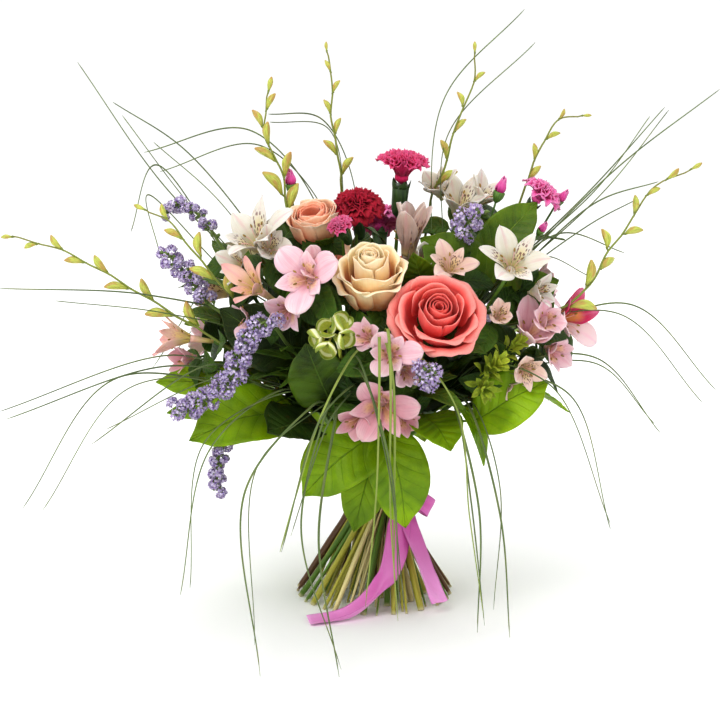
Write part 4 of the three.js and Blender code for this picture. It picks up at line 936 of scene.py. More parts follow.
def build_carnation(spec, fans, thick, finish):
    """Ruffled fans with finely toothed rims in a dense ball; outer ones lie flat, inner ones stand."""
    rng = np.random.default_rng(fans + int(spec["radius"]))
    radius = spec["radius"]
    tall = radius * CARNATION_TALL
    skin = Skin()
    skin.stand(spec)
    heart = 0.24 * radius
    outer_lean = spec.get("lean", 1.5)
    skin.turned([(0.4, 0.2), (heart, 0.16 * tall), (heart, 0.3 * tall), (0.4, 0.32 * tall)], 14)
    for k in range(fans):
        share = (k + 0.5) / fans
        lean = outer_lean * (1 - 0.95 * share**0.8)
        length = radius * (1.06 - 0.06 * share) * rng.uniform(0.93, 1.03)
        root = radius * (0.2 - 0.17 * share)
        turn = k * GOLDEN_ANGLE + rng.normal(0, 0.1)
        half = 0.7 - 0.12 * share + rng.uniform(-0.05, 0.08)
        phases = rng.uniform(*PHASES, 3)
        droop = rng.uniform(0.1, 0.35) * (1 - share) * (outer_lean - 0.9)
        teeth = rng.uniform(0.9, 1, TEETH) * (1 - 0.07 * (np.arange(TEETH) % 2))

        def surface(u, v):
            tooth = np.interp((u + 1) / 2 * (TEETH - 1), np.arange(TEETH), teeth)
            rim = 1 - (1 - tooth) * soft_step(0.8, 1, v) - 0.1 * u**2 * v
            bend = lean * (0.3 + 0.7 * v) + droop * v**2
            reach = length * v * rim
            ruffle = radius * 0.13 * v**2 * np.sin(6.5 * u + phases[0])
            ruffle = ruffle + radius * 0.07 * v**3 * np.sin(13 * u + phases[1])
            out = root + reach * np.sin(bend) - ruffle * np.cos(bend)
            height = 0.22 * tall + reach * np.cos(bend) + ruffle * np.sin(bend)
            return round_axis(np.maximum(out, 0.2), turn + u * half * np.minimum(1, v * 2), height)

        skin.blade(surface, *BLADES["carnation_petal"], thick, draw=rng.uniform(), kind=share)
    return skin.piece(spec["name"] + "_petals", finish)


def tepal_shape(spec, broad):
    """The sweep of one tepal: lean at its tip, radius of its arc and half width, as in the part."""
    start = spec.get("closed", 0.35)
    end = max(start + 0.1, spec["open"] * (1 if broad else 0.82))
    sweep = spec["reach"] * (1 if broad else 0.94) / (end - start)
    return start, end, sweep, spec["wide"] * 0.5 * (1.12 if broad else 0.74)


def add_lily(skin, spec, thick):
    """A short throat, three broad tepals and three narrow ones between them."""
    rng = np.random.default_rng(int(abs(spec["at"][0]) + spec["at"][2]))
    reach = spec["reach"]
    tube = spec.get("tube", 0)
    throat = 0.13 * reach
    deep = tube + 0.16 * reach
    skin.stand(spec)
    cup = [(0.35 * throat + 0.5, -0.4), (0.6 * throat, 0.3 * deep), (0.9 * throat, 0.8 * deep)]
    cup += [(throat, deep), (0.8 * throat, deep), (0.2, 0.72 * deep)]
    skin.turned(cup, 18, lobes=6, depth=0.05)
    for k in range(6):
        broad = k % 2 == 0
        start, end, sweep, spread = tepal_shape(spec, broad)
        turn = k * math.tau / 6 + rng.normal(0, 0.06)
        phase = rng.uniform(*PHASES)
        twist = rng.normal(0, 0.12)
        limp = 1 + rng.normal(0, 0.1)
        fold = rng.uniform(0.16, 0.34)
        peak = 1.35 if broad else 1.15
        blunt = spec.get("blunt", 0) * broad
        turned_down = (skin.turn @ round_axis(1.0, turn, 0.3))[2] < 0

        def surface(u, v):
            bend = start + (end - start) * limp * (v + 0.3 * np.clip(v - 0.7, 0, None))
            half = np.sin(math.pi * np.clip(v, 0.0, 0.999) ** (peak + 0.5 * blunt))
            half = spread * half ** (0.75 - 0.2 * blunt)
            half = np.maximum(half, 0.3 * spread * (1 - v))
            cupped = fold * np.abs(u) ** 1.4 * half * (1 - 0.8 * v)
            crease = -0.05 * spread * np.exp(-((u / 0.16) ** 2)) * np.sin(math.pi * v)
            wave = 0.05 * reach * u * np.abs(u) * np.sin(6 * v + phase)
            lift = cupped + crease + wave * v
            out = throat + sweep * (math.cos(start) - np.cos(bend)) - lift * np.cos(bend)
            up = deep + sweep * (np.sin(bend) - math.sin(start)) + lift * np.sin(bend)
            side = round_axis(u * half, turn + math.pi / 2 + twist * v, 0 * v)
            return round_axis(out, turn, up) + side

        draw = rng.uniform(0.15, 1) * (0 if turned_down else 1)
        skin.blade(surface, *BLADES["tepal"], thick, draw=draw, kind=0 if broad else 1)


def build_lilies(name, specs, thick, finish):
    """One piece of one or more alstroemerias or freesias."""
    skin = Skin()
    for spec in specs:
        add_lily(skin, spec, thick)
    return skin.piece(name, finish)


def build_stamens(specs, finish):
    """Six curved filaments with anthers, and a style, in every open flower."""
    skin = Skin()
    for spec in specs:
        rng = np.random.default_rng(int(spec["reach"] * 7 + spec["at"][2]))
        reach = spec["reach"]
        tube = spec.get("tube", 0)
        skin.stand(spec)
        deep = tube + 0.1 * reach
        for k in range(6):
            turn = (k + 0.5) * math.tau / 6 + rng.normal(0, 0.15)
            v = np.linspace(0, 1, 7)
            out = 0.05 * reach + 0.24 * reach * v**1.6 * (1 + rng.normal(0, 0.15))
            up = deep + (0.5 + 0.08 * rng.normal()) * reach * np.sin(v * 1.35)
            line = round_axis(out, turn, up)
            skin.tube(line, 0.28, 5, kind=0, draw=rng.uniform())
            tip = line[-1]
            ahead = unit(line[-1] - line[-2])
            grain = [tip + ahead * s for s in (-0.6, 0.2, 1.2, 2.2, 2.8)]
            skin.tube(grain, [0.2, 0.6, 0.72, 0.55, 0.15], 6, kind=1, draw=rng.uniform())
    return skin.piece("flower_stamens", finish)


# ---- Statice -----------------------------------------------------------------------------------

# The side that a spray's first clump turns to. Then how far apart its clumps and its calyxes are,
# how many florets a clump has room for, and the share of them that it carries.
STATICE_GUIDE = (-0.1, -1, 0)
CLUMP_EVERY = 3.4
CALYX_EVERY = 3.2
CLUMP_FLORETS = 30
FLORETS_KEPT = 0.86


def build_statice(spec, finish):
    """Loose clumps of small papery florets, most of them on the outer side of the stem."""
    rng = np.random.default_rng(int(abs(spec["path"][0][0]) * 3 + spec["puff"]))
    path = Path(spec["path"])
    puff = spec["puff"]
    start = spec["start"]
    length = path.length * (1 - start)
    clumps = max(5, int(length / CLUMP_EVERY))
    skin = Skin()
    for j in range(clumps):
        share = start + (1 - start) * (j + 0.5) / clumps
        ahead = path.heading(share)
        ray = ray_round(ahead, j * GOLDEN_ANGLE, STATICE_GUIDE)
        size = puff * rng.uniform(0.34, 0.56)
        centre = path.even(share) + ray * (puff - size) * rng.uniform(0.6, 1.0)
        out = unit(ray + ahead * 0.5)
        left = unit(np.cross(out, ahead))
        for k in range(CLUMP_FLORETS):
            high = 1 - 1.4 * (k + 0.5) / CLUMP_FLORETS
            flat = math.sqrt(max(0, 1 - high**2))
            turn = k * GOLDEN_ANGLE
            axis = out * high + flat * (math.cos(turn) * left + math.sin(turn) * np.cross(out, left))
            reach = size * rng.uniform(0.75, 1.12) - 2.2
            if rng.uniform() < FLORETS_KEPT:
                place_floret(skin, centre + axis * reach, unit(axis + rng.normal(0, 0.3, 3)), rng)
    return skin.piece(spec["name"] + "_florets", finish)


def place_floret(skin, base, axis, rng):
    """One papery funnel with five lobes, some of them crumpled shut."""
    size = rng.uniform(1.0, 1.75)
    skin.place(base, axis)
    angle = np.linspace(0, math.tau, 10, endpoint=False) + rng.uniform(*PHASES)
    lobes = 1 + 0.3 * np.cos(5 * (angle - angle[0])) + rng.normal(0, 0.1, 10)
    rings = [
        round_axis(0.3, angle, 0.0),
        round_axis(0.45 * size, angle, 1.5),
        round_axis(size * lobes, angle, 2.4 + rng.normal(0, 0.3, 10)),
        round_axis(0.3 * size, angle, 1.7),
    ]
    skin.loft(rings, draw=rng.uniform(), kind=1 if rng.uniform() < 0.3 else 0)


def build_statice_stems(specs, finish):
    """Stems and the green calyxes that sit under the florets."""
    skin = Skin()
    for spec in specs:
        path = Path(spec["path"])
        shares = np.linspace(0, 0.97, 24)
        skin.place()
        skin.tube(path.even(shares), np.linspace(1.5, 0.8, 24), 8, draw=0.3)
        rng = np.random.default_rng(int(spec["puff"] * 5))
        calyxes = int(path.length / CALYX_EVERY)
        for k, share in enumerate(np.linspace(spec["start"] * 0.7, 0.96, calyxes)):
            ahead = path.heading(share)
            ray = ray_round(ahead, k * GOLDEN_ANGLE, STATICE_GUIDE)
            axis = unit(ray + ahead * 0.9)
            skin.place(path.even(share) + ray * 0.6, axis)
            long = 0.42 * spec["puff"] * rng.uniform(0.9, 1.2)
            calyx = [(0.4, 0), (0.6, 0.4 * long), (1.5, 0.75 * long), (1.2, long), (0.3, 1.2 * long)]
            skin.turned(calyx, 6)
    return skin.piece("statice_stems", finish)


# ---- Buds and green florets --------------------------------------------------------------------


def bud_profile(length, slim):
    """Half profile of a long bud: slim at its neck, widest past its middle, with a blunt tip."""
    share = np.linspace(0, 1, 16)
    swell = 0.3 + 0.7 * np.sin(math.pi * np.clip(share, 0.0, 0.985) ** 1.3) ** 0.9 - 0.16 * share**9
    return [(max(0.14, 0.5 * length * slim * w), length * s) for s, w in zip(share, swell)]


def build_bud_spray(spec, finish):
    """Buds that stand by turns on both sides of a zigzag stem, large ones at its foot."""
    path = Path(spec["path"])
    rng = np.random.default_rng(len(spec["name"]) * 7)
    skin = Skin()
    shares = np.linspace(0, 1, 40)
    line = path.even(shares)
    buds = spec["buds"]
    knots = spec["start"] + (0.99 - spec["start"]) * np.arange(buds) / (buds - 1)
    zigzag = np.interp(shares, knots, 0.7 * (-1.0) ** np.arange(buds), left=0, right=0)
    aside = unit(np.cross((0, 1, 0), path.heading(shares)))
    line = line + aside * zigzag[:, None]
    skin.tube(line, np.linspace(1.15, 0.55, 40), 8, kind=1, draw=0.5)
    for k in range(buds):
        share = k / (buds - 1)
        place = knots[k]
        ahead = path.heading(place)
        side = unit(np.cross((0, 1, 0), ahead))
        lean = 0 if k == buds - 1 else 0.55 * (1 if k % 2 == 0 else -1)
        axis = unit(ahead * math.cos(lean) + side * math.sin(lean) + rng.normal(0, 0.12, 3))
        length = spec["big"] * (1.36 - 0.72 * share) * rng.uniform(0.88, 1.0)
        add_bud(skin, path.even(place), axis, ahead, length, rng)
    return skin.piece(spec["name"] + "_buds", finish)


def add_bud(skin, base, axis, ahead, length, rng):
    """A plump bud of three closed petals, bent a little along the stem, on a short neck."""
    turn = turn_to(axis)
    angle = np.linspace(0, math.tau, 15, endpoint=False)
    seam = 1 + 0.07 * np.cos(3 * (angle + rng.uniform(0, 2)))
    neck = 0.16 * length
    draw = rng.uniform()
    rings = []
    for radius, height in bud_profile(length - neck, 0.36):
        bow = 0.2 * length * math.sin(math.pi * height / length)
        ring = round_axis(radius * seam, angle, height + neck) @ turn.T
        rings.append(base + ring + (ahead - axis) * bow)
    skin.place()
    skin.loft(rings, kind=0, draw=draw)
    skin.tube([base, base + axis * neck * 0.6, base + axis * neck * 1.25], [0.55, 0.7, 1.0], 7, kind=1)


def build_green_florets(spec, finish):
    """Green florets that are half open: three lapping cupped bracts with pale rims on slim necks."""
    skin = Skin()
    tip = vector(spec["path"][-1])
    path = Path(spec["path"])
    skin.tube(path.line(10), 1.4, 8, kind=1)
    rng = np.random.default_rng(5)
    for cup in spec["cups"]:
        reach = vector(cup) - tip
        far = np.linalg.norm(reach)
        radius, deep = spec["radius"], spec["deep"]
        low = far - deep
        skin.place(tip, reach)
        neck = [(0.7, 0), (0.9, low), (0.34 * radius, low + 0.14 * deep), (0.2, low + 0.3 * deep)]
        skin.turned(neck, 12, kind=1)
        for k in range(3):
            turn = k * math.tau / 3 + rng.uniform(-0.3, 0.3)
            tall = deep * rng.uniform(0.94, 1.12)
            lap = rng.uniform(0.05, 0.12)

            def surface(u, v):
                belly = risen(v / 0.7) ** 0.8
                out = radius * (0.14 + 0.82 * belly) * (1 + lap * u) - 0.12 * radius * v**6
                rise = low + 0.1 * deep + tall * v * (1 - 0.2 * np.abs(u) ** 2.4)
                return round_axis(out, turn + u * 1.3 * risen(v / 0.4) * (1 - 0.35 * v**2), rise)

            skin.blade(surface, *BLADES["green_bract"], draw=rng.uniform(), kind=0)
    return skin.piece("green_floret_cups", finish)


# ---- Leaves and grass --------------------------------------------------------------------------


def leaf_surface(root, spec, stalk_share=1 / 6, wavy=0.0, phase=0.0):
    """A broad folded leaf with its stalk, from its sprig's root, as in the part."""
    base, tip = (vector(spec[key]) for key in ("base", "tip"))
    upper = unit(vector(spec["faces"]))
    crown = (base + tip) / 2 + upper * spec["arch"]
    rib = Path([root, base, crown, tip])

    def surface(u, v):
        opened = np.clip((v - stalk_share) / (1 - stalk_share), 0, 1)
        t = np.where(v < stalk_share, v / stalk_share / 3, (1 + 2 * opened) / 3)[:, 0]
        ahead = unit(rib.at(np.minimum(t + 0.004, 1)) - rib.at(np.maximum(t - 0.004, 0)))
        across = unit(np.cross(ahead, upper))
        up = unit(np.cross(across, ahead))
        open_half = spec["wide"] * 0.52 * np.sin(math.pi * opened**0.76) ** 0.66
        open_half = open_half * (1 - 0.42 * soft_step(0.8, 0.98, opened))
        half = np.maximum(open_half, 0.9 * (1 - opened**4))
        ripple = wavy * np.sin(13 * opened + phase + 1.5 * np.sign(u)) * np.abs(u) ** 2
        vein_dip = 0.012 * spec["wide"] * np.abs(np.sin(11 * math.pi * (opened - 0.22 * np.abs(u))))
        lift = 0.2 * open_half * np.abs(u) ** 1.3 - vein_dip * (opened > 0)
        lift = lift + ripple * soft_step(0, 0.2, opened)
        middle = rib.at(t)[:, None, :]
        return middle + across[:, None, :] * (u * half)[..., None] + up[:, None, :] * lift[..., None]

    return surface


def build_leaves(spec, thick, finish):
    """The broad leaves of one sprig, on the knot that they grow from."""
    rng = np.random.default_rng(len(spec["name"]))
    root = vector(spec["start"])
    skin = Skin()
    for leaf in spec["leaves"]:
        surface = leaf_surface(root, leaf, wavy=0.018 * leaf["wide"], phase=rng.uniform(*PHASES))
        skin.blade(surface, *BLADES["broad_leaf"], thick, draw=leaf.get("shade", rng.uniform()))
    skin.place(root, (0, 0, 1))
    skin.turned([(0.6, -3), (2.2, -1.4), (2.4, 0.6), (0.8, 2.6)], 12, draw=0.5)
    return skin.piece(spec["name"], finish)


def build_grass(spec, thick, companions, finish):
    """Long arching blades with a keel, from the tuft's root out to hair-thin tips. Every blade has
    slimmer companions that run beside it, as in a pulled tuft."""
    rng = np.random.default_rng(len(spec["name"]) * 3)
    root = vector(spec["root"])
    skin = Skin()
    for points in spec["blades"]:
        points = vector(points)
        out = (points[-1] - root) * (1, 1, 0)
        sideways = unit(vector([-out[1], out[0], 0]))
        for k in range(companions + 1):
            stray = rng.normal(0, 1, points.shape) * (7, 7, 5) * (k > 0)
            ends = (1 - 0.22 * rng.uniform() * (k > 0)) * (points - root) + root + stray
            ends[:, 2] = np.maximum(ends[:, 2], 2.5)
            path = Path([root, *np.clip(ends, *GRASS_REACH)])
            broad = 1.0 if k == 0 else rng.uniform(0.55, 0.85)

            def surface(u, v):
                half = broad * (1.25 - 0.9 * v**1.6) * np.where(v > 0.985, 0.4, 1)
                middle = path.at(0.003 + 0.997 * v[:, 0])[:, None, :]
                keel = (np.abs(u) * half)[..., None] * (0, 0, 0.85)
                return middle + sideways * (u * half)[..., None] + keel

            skin.blade(surface, *BLADES["grass"], thick, draw=rng.uniform())
    skin.place(root, (0, 0, 1))
    skin.turned([(0.6, -3.2), (2.2, -1.5), (2.2, 1), (0.7, 3)], 10, draw=0.5)
    return skin.piece(spec["name"], finish)


def build_green_tips(tufts, finish):
    """Tufts of narrow pointed young leaves, as on the tip of a leafy filler stem."""
    skin = Skin()
    for tuft in tufts:
        rng = np.random.default_rng(int(tuft["at"][0]))
        start, at = (vector(tuft[key]) for key in ("start", "at"))
        axis = unit(at - start)
        skin.place()
        skin.tube(np.linspace(start, at, 6), np.linspace(1.2, 0.7, 6), 7, draw=0.6)
        for k in range(tuft["leaves"]):
            share = k / tuft["leaves"]
            ray = ray_round(axis, k * GOLDEN_ANGLE)
            root = start + (at - start) * (0.35 + 0.63 * share)
            length = tuft["long"] * (1.15 - 0.45 * share) * rng.uniform(0.85, 1.1)
            out = unit(ray * (1.1 - 0.75 * share) + axis * 0.8)
            leaf = dict(base=root + out * 0.15 * length, tip=root + out * length, faces=axis, wide=5, arch=2)
            skin.blade(leaf_surface(root, leaf), *BLADES["tip_leaf"], draw=rng.uniform(0, 0.4))
    return skin.piece("green_tips", finish)


def add_leaf(skin, rng, sort, root, base, tip, faces, length, **paints):
    """A loose leaf of this length. Its width, the start of its waves and its shade are drawn."""
    form = LOOSE_LEAVES[sort]
    wide = length * rng.uniform(*form["broad"])
    leaf = dict(base=base, tip=tip, faces=faces, wide=wide, arch=0.1 * length)
    surface = leaf_surface(root, leaf, wavy=form["wavy"], phase=rng.uniform(*PHASES))
    skin.blade(surface, *form["blade"], draw=rng.uniform(), **paints)


# ---- Stems -------------------------------------------------------------------------------------


def head_end(spec):
    """Where a bloom's foot meets its stem."""
    axis, base = stance(spec)
    return dict(base=base, axis=axis, calyx=spec.get("calyx", 0), name=spec["name"])


def path_end(spec):
    """Where a spray's own stem starts."""
    root, after = (vector(point) for point in spec["path"][:2])
    return dict(base=root, axis=unit(after - root), calyx=0, name=spec["name"])


def knot_end(name, root, radius):
    """Where the knot of a sprig or tuft sits on its stem."""
    root = vector(root)
    axis = unit(root - (0, 0, STEM["waist_height"]))
    return dict(base=root - axis * KNOT_SEAT * radius, axis=axis, calyx=0, name=name)


def all_ends():
    """Where every head, spray, sprig and tuft meets its stem, in the part's order."""
    ends = [knot_end(tuft["name"], tuft["root"], GRASS_KNOT) for tuft in GRASS]
    ends += [path_end(spray) for spray in SPRAYS]
    ends += [head_end(bloom) for bloom in ROSES + CARNATIONS]
    ends += [path_end(GREEN_CUPS)]
    ends += [head_end(lily) for lily in LILIES]
    ends += [path_end(spray) for spray in STATICE]
    ends += [knot_end(sprig["name"], sprig["start"], LEAF_KNOT) for sprig in SPRIGS]
    return ends


def slanted_stem(ring, slot):
    """The line of a spiralled stem, by height."""
    angle = slot / ring["count"] * math.tau
    rise = STEM["waist_height"]
    slant = math.sqrt(ring["foot_radius"] ** 2 - ring["waist_radius"] ** 2) / rise
    waist = round_axis(ring["waist_radius"], angle, rise)
    run = round_axis(slant, angle + math.pi / 2, 1.0)
    return lambda height: waist + run * (height - rise)


def claim_stem(base, taken):
    """The free stem that suits a head best: its ring by the head's lean, its slot by side."""
    lean = math.atan2(math.hypot(base[0], base[1]), base[2] - STEM["waist_height"])
    level = sum(lean > limit for limit in STEM["ring_by_lean"])
    best = None
    for other, ring in enumerate(STEM["rings"]):
        side = math.atan2(base[1], base[0]) - ring["lead"]
        for slot in range(ring["count"]):
            turn = side - slot / ring["count"] * math.tau
            aside = abs(math.atan2(math.sin(turn), math.cos(turn)))
            miss = aside + STEM["ring_miss"] * abs(other - level)
            if (other, slot) not in taken and (best is None or miss < best[0]):
                best = (miss, other, slot)
    taken.append(best[1:])
    return slanted_stem(STEM["rings"][best[1]], best[2])


def all_branches():
    """The branch to every head: where it starts, where it ends and what it carries."""
    top = STEM["waist_height"] + STEM["straight_above"]
    forks, taken, branches = [], [], []
    for end in all_ends():
        near = [side for head, side in forks if np.linalg.norm(head - end["base"]) < STEM["fork_within"]]
        start = near[0] if near else claim_stem(end["base"], taken)(top - STEM["branch_sunk"])
        branches.append(dict(end, start=start, shoot=bool(near)))
        if not near:
            forks.append((end["base"], start + (end["base"] - start) * STEM["fork_at"]))
    return branches


# The stems' looks, with the share of the stems that has each.
STEM_LOOKS = dict(fresh=0.2, olive=0.3, woody=0.15, pale=0.35)
STEM_RADII = (1.7, 2.9)
MIDDLE_STEM = 2.6
# Thinner stems lie in the gaps of a ring: the share of its foot's radius that theirs is, and how
# far they stand proud of its waist.
SLIM_ROWS = ((0.93, 0.6), (1.02, 1.6))
SLIM_RADII = (0.7, 1.4)


def build_stems(settings, finishes):
    """Spiralled stems below the tie and a branch to every head, in four looks."""
    rng = np.random.default_rng(settings.seed)
    skins = {look: Skin() for look in STEM_LOOKS}
    top = STEM["waist_height"] + STEM["straight_above"]
    heights = np.linspace(0, top, 14)
    lines = [(lambda height: (0, 0, height), MIDDLE_STEM)]
    for ring in STEM["rings"]:
        slots = range(ring["count"])
        lines += [(slanted_stem(ring, slot), rng.uniform(*STEM_RADII)) for slot in slots]
        for share, proud in SLIM_ROWS:
            slim = dict(ring, foot_radius=ring["foot_radius"] * share)
            slim["waist_radius"] = ring["waist_radius"] + proud
            for slot in slots:
                line = slanted_stem(slim, slot + rng.uniform(0.3, 0.7))
                lines.append((line, rng.uniform(*SLIM_RADII)))
    for line, radius in lines:
        bow = rng.normal(0, 0.5, 3) * (1, 1, 0)
        points = [line(h) + bow * math.sin(math.pi * h / top) for h in heights]
        radii = radius * (1 + 0.08 * np.sin(heights * 0.11 + rng.uniform(*PHASES)))
        radii[0] *= 1.02
        look = rng.choice(list(STEM_LOOKS), p=list(STEM_LOOKS.values()))
        skins[look].tube(points, radii, 10, draw=rng.uniform(), kind=0)
    for branch in all_branches():
        start, end, axis = branch["start"], branch["base"] - branch["axis"] * 0.3, branch["axis"]
        span = np.linalg.norm(end - start)
        middle = (start + end) / 2 + (axis * -0.06 * span)
        path = Path([start, middle, end])
        thick = STEM["branch_radius"] * (0.8 if branch["shoot"] else 1.0)
        line = path.line(12)
        skins["fresh"].tube(line, np.linspace(thick, 0.8 * thick, 12), 9, draw=rng.uniform(), kind=1)
    nodes = ["stem_bundle"]
    for look in STEM_LOOKS:
        settle(skins[look].piece("stems_" + look, finishes[look]), "stem", *nodes)
        nodes = []


def build_calyxes(finish):
    """The ribbed green tube, with five teeth, that holds each carnation's petals."""
    skin = Skin()
    for branch in all_branches():
        if not branch["calyx"]:
            continue
        radius = branch["calyx"]
        skin.place(branch["base"] - branch["axis"] * 0.35, branch["axis"])
        profile = [(1.4, -4 * radius), (0.72 * radius, -3.5 * radius), (0.9 * radius, -2.9 * radius)]
        profile += [(0.94 * radius, -1.4 * radius), (radius, 0), (0.86 * radius, 0.2), (0.4 * radius, 0)]
        skin.turned(profile, 30, lobes=15, depth=0.02, draw=0.3)
        for k in range(5):
            turn = k * math.tau / 5

            def surface(u, v):
                angle = turn + u * 0.58 * (1 - v**1.4)
                return round_axis(radius * (1.02 + 0.12 * v), angle, -0.25 * radius + 0.95 * radius * v)

            skin.blade(surface, *BLADES["carnation_tooth"], draw=k / 5)
    return skin.piece("carnation_calyxes", finish)


def all_blooms():
    """Every rose, carnation and lily, those between the large ones too."""
    return ROSES + CARNATIONS + LILIES + [spec for specs in SIDE_LILIES.values() for spec in specs]


# How far the space before a bloom's face, and on the bouquet's outer side of it, is kept clear of
# loose leaves, and how far round the green florets.
CLEAR_AHEAD = 70
CLEAR_OUTWARDS = 45
CLEAR_OF_CUPS = 22
# Loose leaves keep their tips above the first height, and the outer parts of those under a bloom
# above the second. Blooms above the third have bare stems.
LEAVES_ABOVE = 165
BLOOM_LEAVES_ABOVE = 170
LEAFY_BELOW = 325


def clear_of_blooms(line):
    """Whether a line of points stays out of every flower and out of the space before its face."""
    for spec in all_blooms():
        reach = 0.95 * spec.get("radius", spec.get("reach", 0))
        away = line - vector(spec["at"])
        if np.min(np.linalg.norm(away, axis=1)) < reach:
            return False
        outwards = unit(vector(spec["at"]) * (1, 1, 0))
        for ray, far in ((stance(spec)[0], CLEAR_AHEAD), (outwards, CLEAR_OUTWARDS)):
            along = away @ ray
            aside = np.linalg.norm(away - along[:, None] * ray, axis=1)
            if np.any((along > 0.3 * reach) & (along < far) & (aside < 0.9 * reach)):
                return False
    return np.min(np.linalg.norm(line - GREEN_CUPS["path"][-1], axis=1)) > CLEAR_OF_CUPS


def build_stem_leaves(settings, finish):
    """Slender leaves on the upper half of the branches, as alstroemeria and carnation stems have."""
    rng = np.random.default_rng(settings.seed + 1)
    skin = Skin()
    for branch in all_branches():
        if "grass" in branch["name"] or "leaves" in branch["name"]:
            continue
        start, end = branch["start"], branch["base"]
        ahead = unit(end - start)
        for k in range(settings.leaves_per_branch):
            share = rng.uniform(0.42, 0.93)
            ray = ray_round(ahead, k * GOLDEN_ANGLE + rng.uniform(*PHASES))
            length = rng.uniform(*LOOSE_LEAVES["stem_leaf"]["long"])
            root = start + (end - start) * share
            tip = root + (ahead * 0.75 + ray * 0.75) * length + (0, 0, -0.12 * length)
            line = root + (tip - root) * np.linspace(0.3, 1.1, 7)[:, None]
            if tip[2] >= LEAVES_ABOVE and clear_of_blooms(line):
                base = root + (ahead + ray) * 0.12 * length
                faces = ahead * 0.5 - ray * 0.2 + (0, -0.2, 0.7)
                add_leaf(skin, rng, "stem_leaf", root, base, tip, faces, length, kind=1)
    return skin.piece("stem_leaves", finish)


def build_inner_leaves(settings, finish):
    """Broad leaves deep in the dome, on the thin stalks that fill its inside. Their dark colour is partly
    painted shade.
    """
    rng = np.random.default_rng(settings.seed + 2)
    middle = (0, 0, STEM["waist_height"] + 30)
    skin = Skin()
    for k in range(settings.inner_leaves):
        share = (k + 0.5) / settings.inner_leaves
        aim = round_axis(math.sqrt(1 - (0.8 * share) ** 2), k * GOLDEN_ANGLE, 0.3 + 0.8 * share)
        for _ in range(8):
            out = unit(aim + rng.normal(0, 0.12, 3))
            root = middle + out * rng.uniform(22, 36)
            length = rng.uniform(*LOOSE_LEAVES["inner_leaf"]["long"])
            base = root + out * (26 + 50 * (k % 2) * rng.uniform(0.3, 1))
            tip = base + (out + (0, 0, -0.25) + rng.normal(0, 0.2, 3)) * length * 0.72
            line = base + (tip - base) * np.linspace(0.3, 1.1, 8)[:, None]
            if tip[2] > LEAVES_ABOVE and clear_of_blooms(line):
                faces = out * (0.3, 0.9, 0) + (0, 0, 0.8) + rng.normal(0, 0.25, 3)
                add_leaf(skin, rng, "inner_leaf", root, base, tip, faces, length)
                break
    return skin.piece("inner_leaves", finish)


def build_bloom_leaves(settings, finish):
    """Leaves that stand out from under every bloom and close the gaps between them. Their dark colour is
    partly painted shade in those gaps.
    """
    rng = np.random.default_rng(settings.seed + 3)
    skin = Skin()
    for spec in all_blooms():
        if spec["at"][2] > LEAFY_BELOW or "calyx" in spec:
            continue
        reach = spec.get("radius", spec.get("reach"))
        axis, foot = stance(spec, 0.75 * reach + spec.get("tube", 0))
        for k in range(settings.bloom_leaves):
            for _ in range(5):
                ray = ray_round(axis, k * math.tau / settings.bloom_leaves + rng.normal(0, 0.5))
                length = rng.uniform(*LOOSE_LEAVES["bloom_leaf"]["long"]) * (0.8 + 0.01 * reach)
                tip = foot + (ray + axis * rng.uniform(-0.3, 0.25)) * length
                line = foot + (tip - foot) * np.linspace(0.5, 1.1, 6)[:, None]
                if np.min(line[:, 2]) > BLOOM_LEAVES_ABOVE and clear_of_blooms(line):
                    root, base = foot - axis * 5, foot + ray * 0.12 * length
                    faces = axis + rng.normal(0, 0.2, 3)
                    add_leaf(skin, rng, "bloom_leaf", root, base, tip, faces, length)
                    break
    return skin.piece("bloom_leaves", finish)


def build_pink_buds(specs, green, petals):
    """Closed buds: furled petals that show their tips above a ribbed green calyx, on thin stems."""
    cups, tips = Skin(), Skin()
    for spec in specs:
        radius, tall = spec["radius"], spec["tall"]
        axis, foot = stance(spec, 1.5 * tall)
        cups.place()
        path = Path([spec["start"], foot - axis * 14 - (0, 0, 4), foot])
        cups.tube(path.line(14), np.linspace(1.1, 0.8, 14), 7, draw=0.2, kind=1)
        cups.place(foot, axis)
        calyx = [(0.8, -1), (0.6 * radius, 0.12 * tall), (0.92 * radius, 0.5 * tall)]
        calyx += [(radius, 0.95 * tall), (0.82 * radius, 1.02 * tall), (0.3, 0.9 * tall)]
        cups.turned(calyx, 20, lobes=5, depth=0.06, draw=0.4)
        tips.place(foot + axis * 0.8 * tall, axis)
        for k in range(7):
            turn = k * GOLDEN_ANGLE

            def surface(u, v):
                out = radius * (0.35 + 0.62 * risen(v / 0.5) - 0.62 * v**2.5) * (1 + 0.16 * u)
                out = out * (1 - 0.05 * k) + 0.06 * radius * v**4 * np.sin(8 * u + k)
                rise = 1.5 * tall * v * (1 - 0.2 * np.abs(u) ** 2) * (0.86 + 0.05 * k)
                return round_axis(np.maximum(out, 0.2), turn + u * 1.2 * risen(v / 0.4), rise)

            tips.blade(surface, *BLADES["bud_petal"], draw=k / 7, kind=0.5)
    return cups.piece("pink_bud_calyxes", green), tips.piece("pink_bud_petals", petals)


# ---- Ribbon ------------------------------------------------------------------------------------

# The small loop right of the knot: its path, and the direction of its width.
LOOP_PATH = [
    [17, -22, 90], [27, -28, 89], [38, -30, 84], [45, -25, 77], [41, -17, 76], [30, -14, 82], [19, -17, 88],
]
LOOP_ACROSS = [0.42, -0.12, 0.9]
# How far each tail curls lengthwise, and how far it is drawn together half way down.
LEFT_FORM = (0.06, 0.4)
RIGHT_FORM = (0.08, 0.12)
# The knot: half its width, and how far it stands out and up.
KNOT_HALF = 6.5
KNOT_OUT = 4.9
KNOT_UP = 6.2


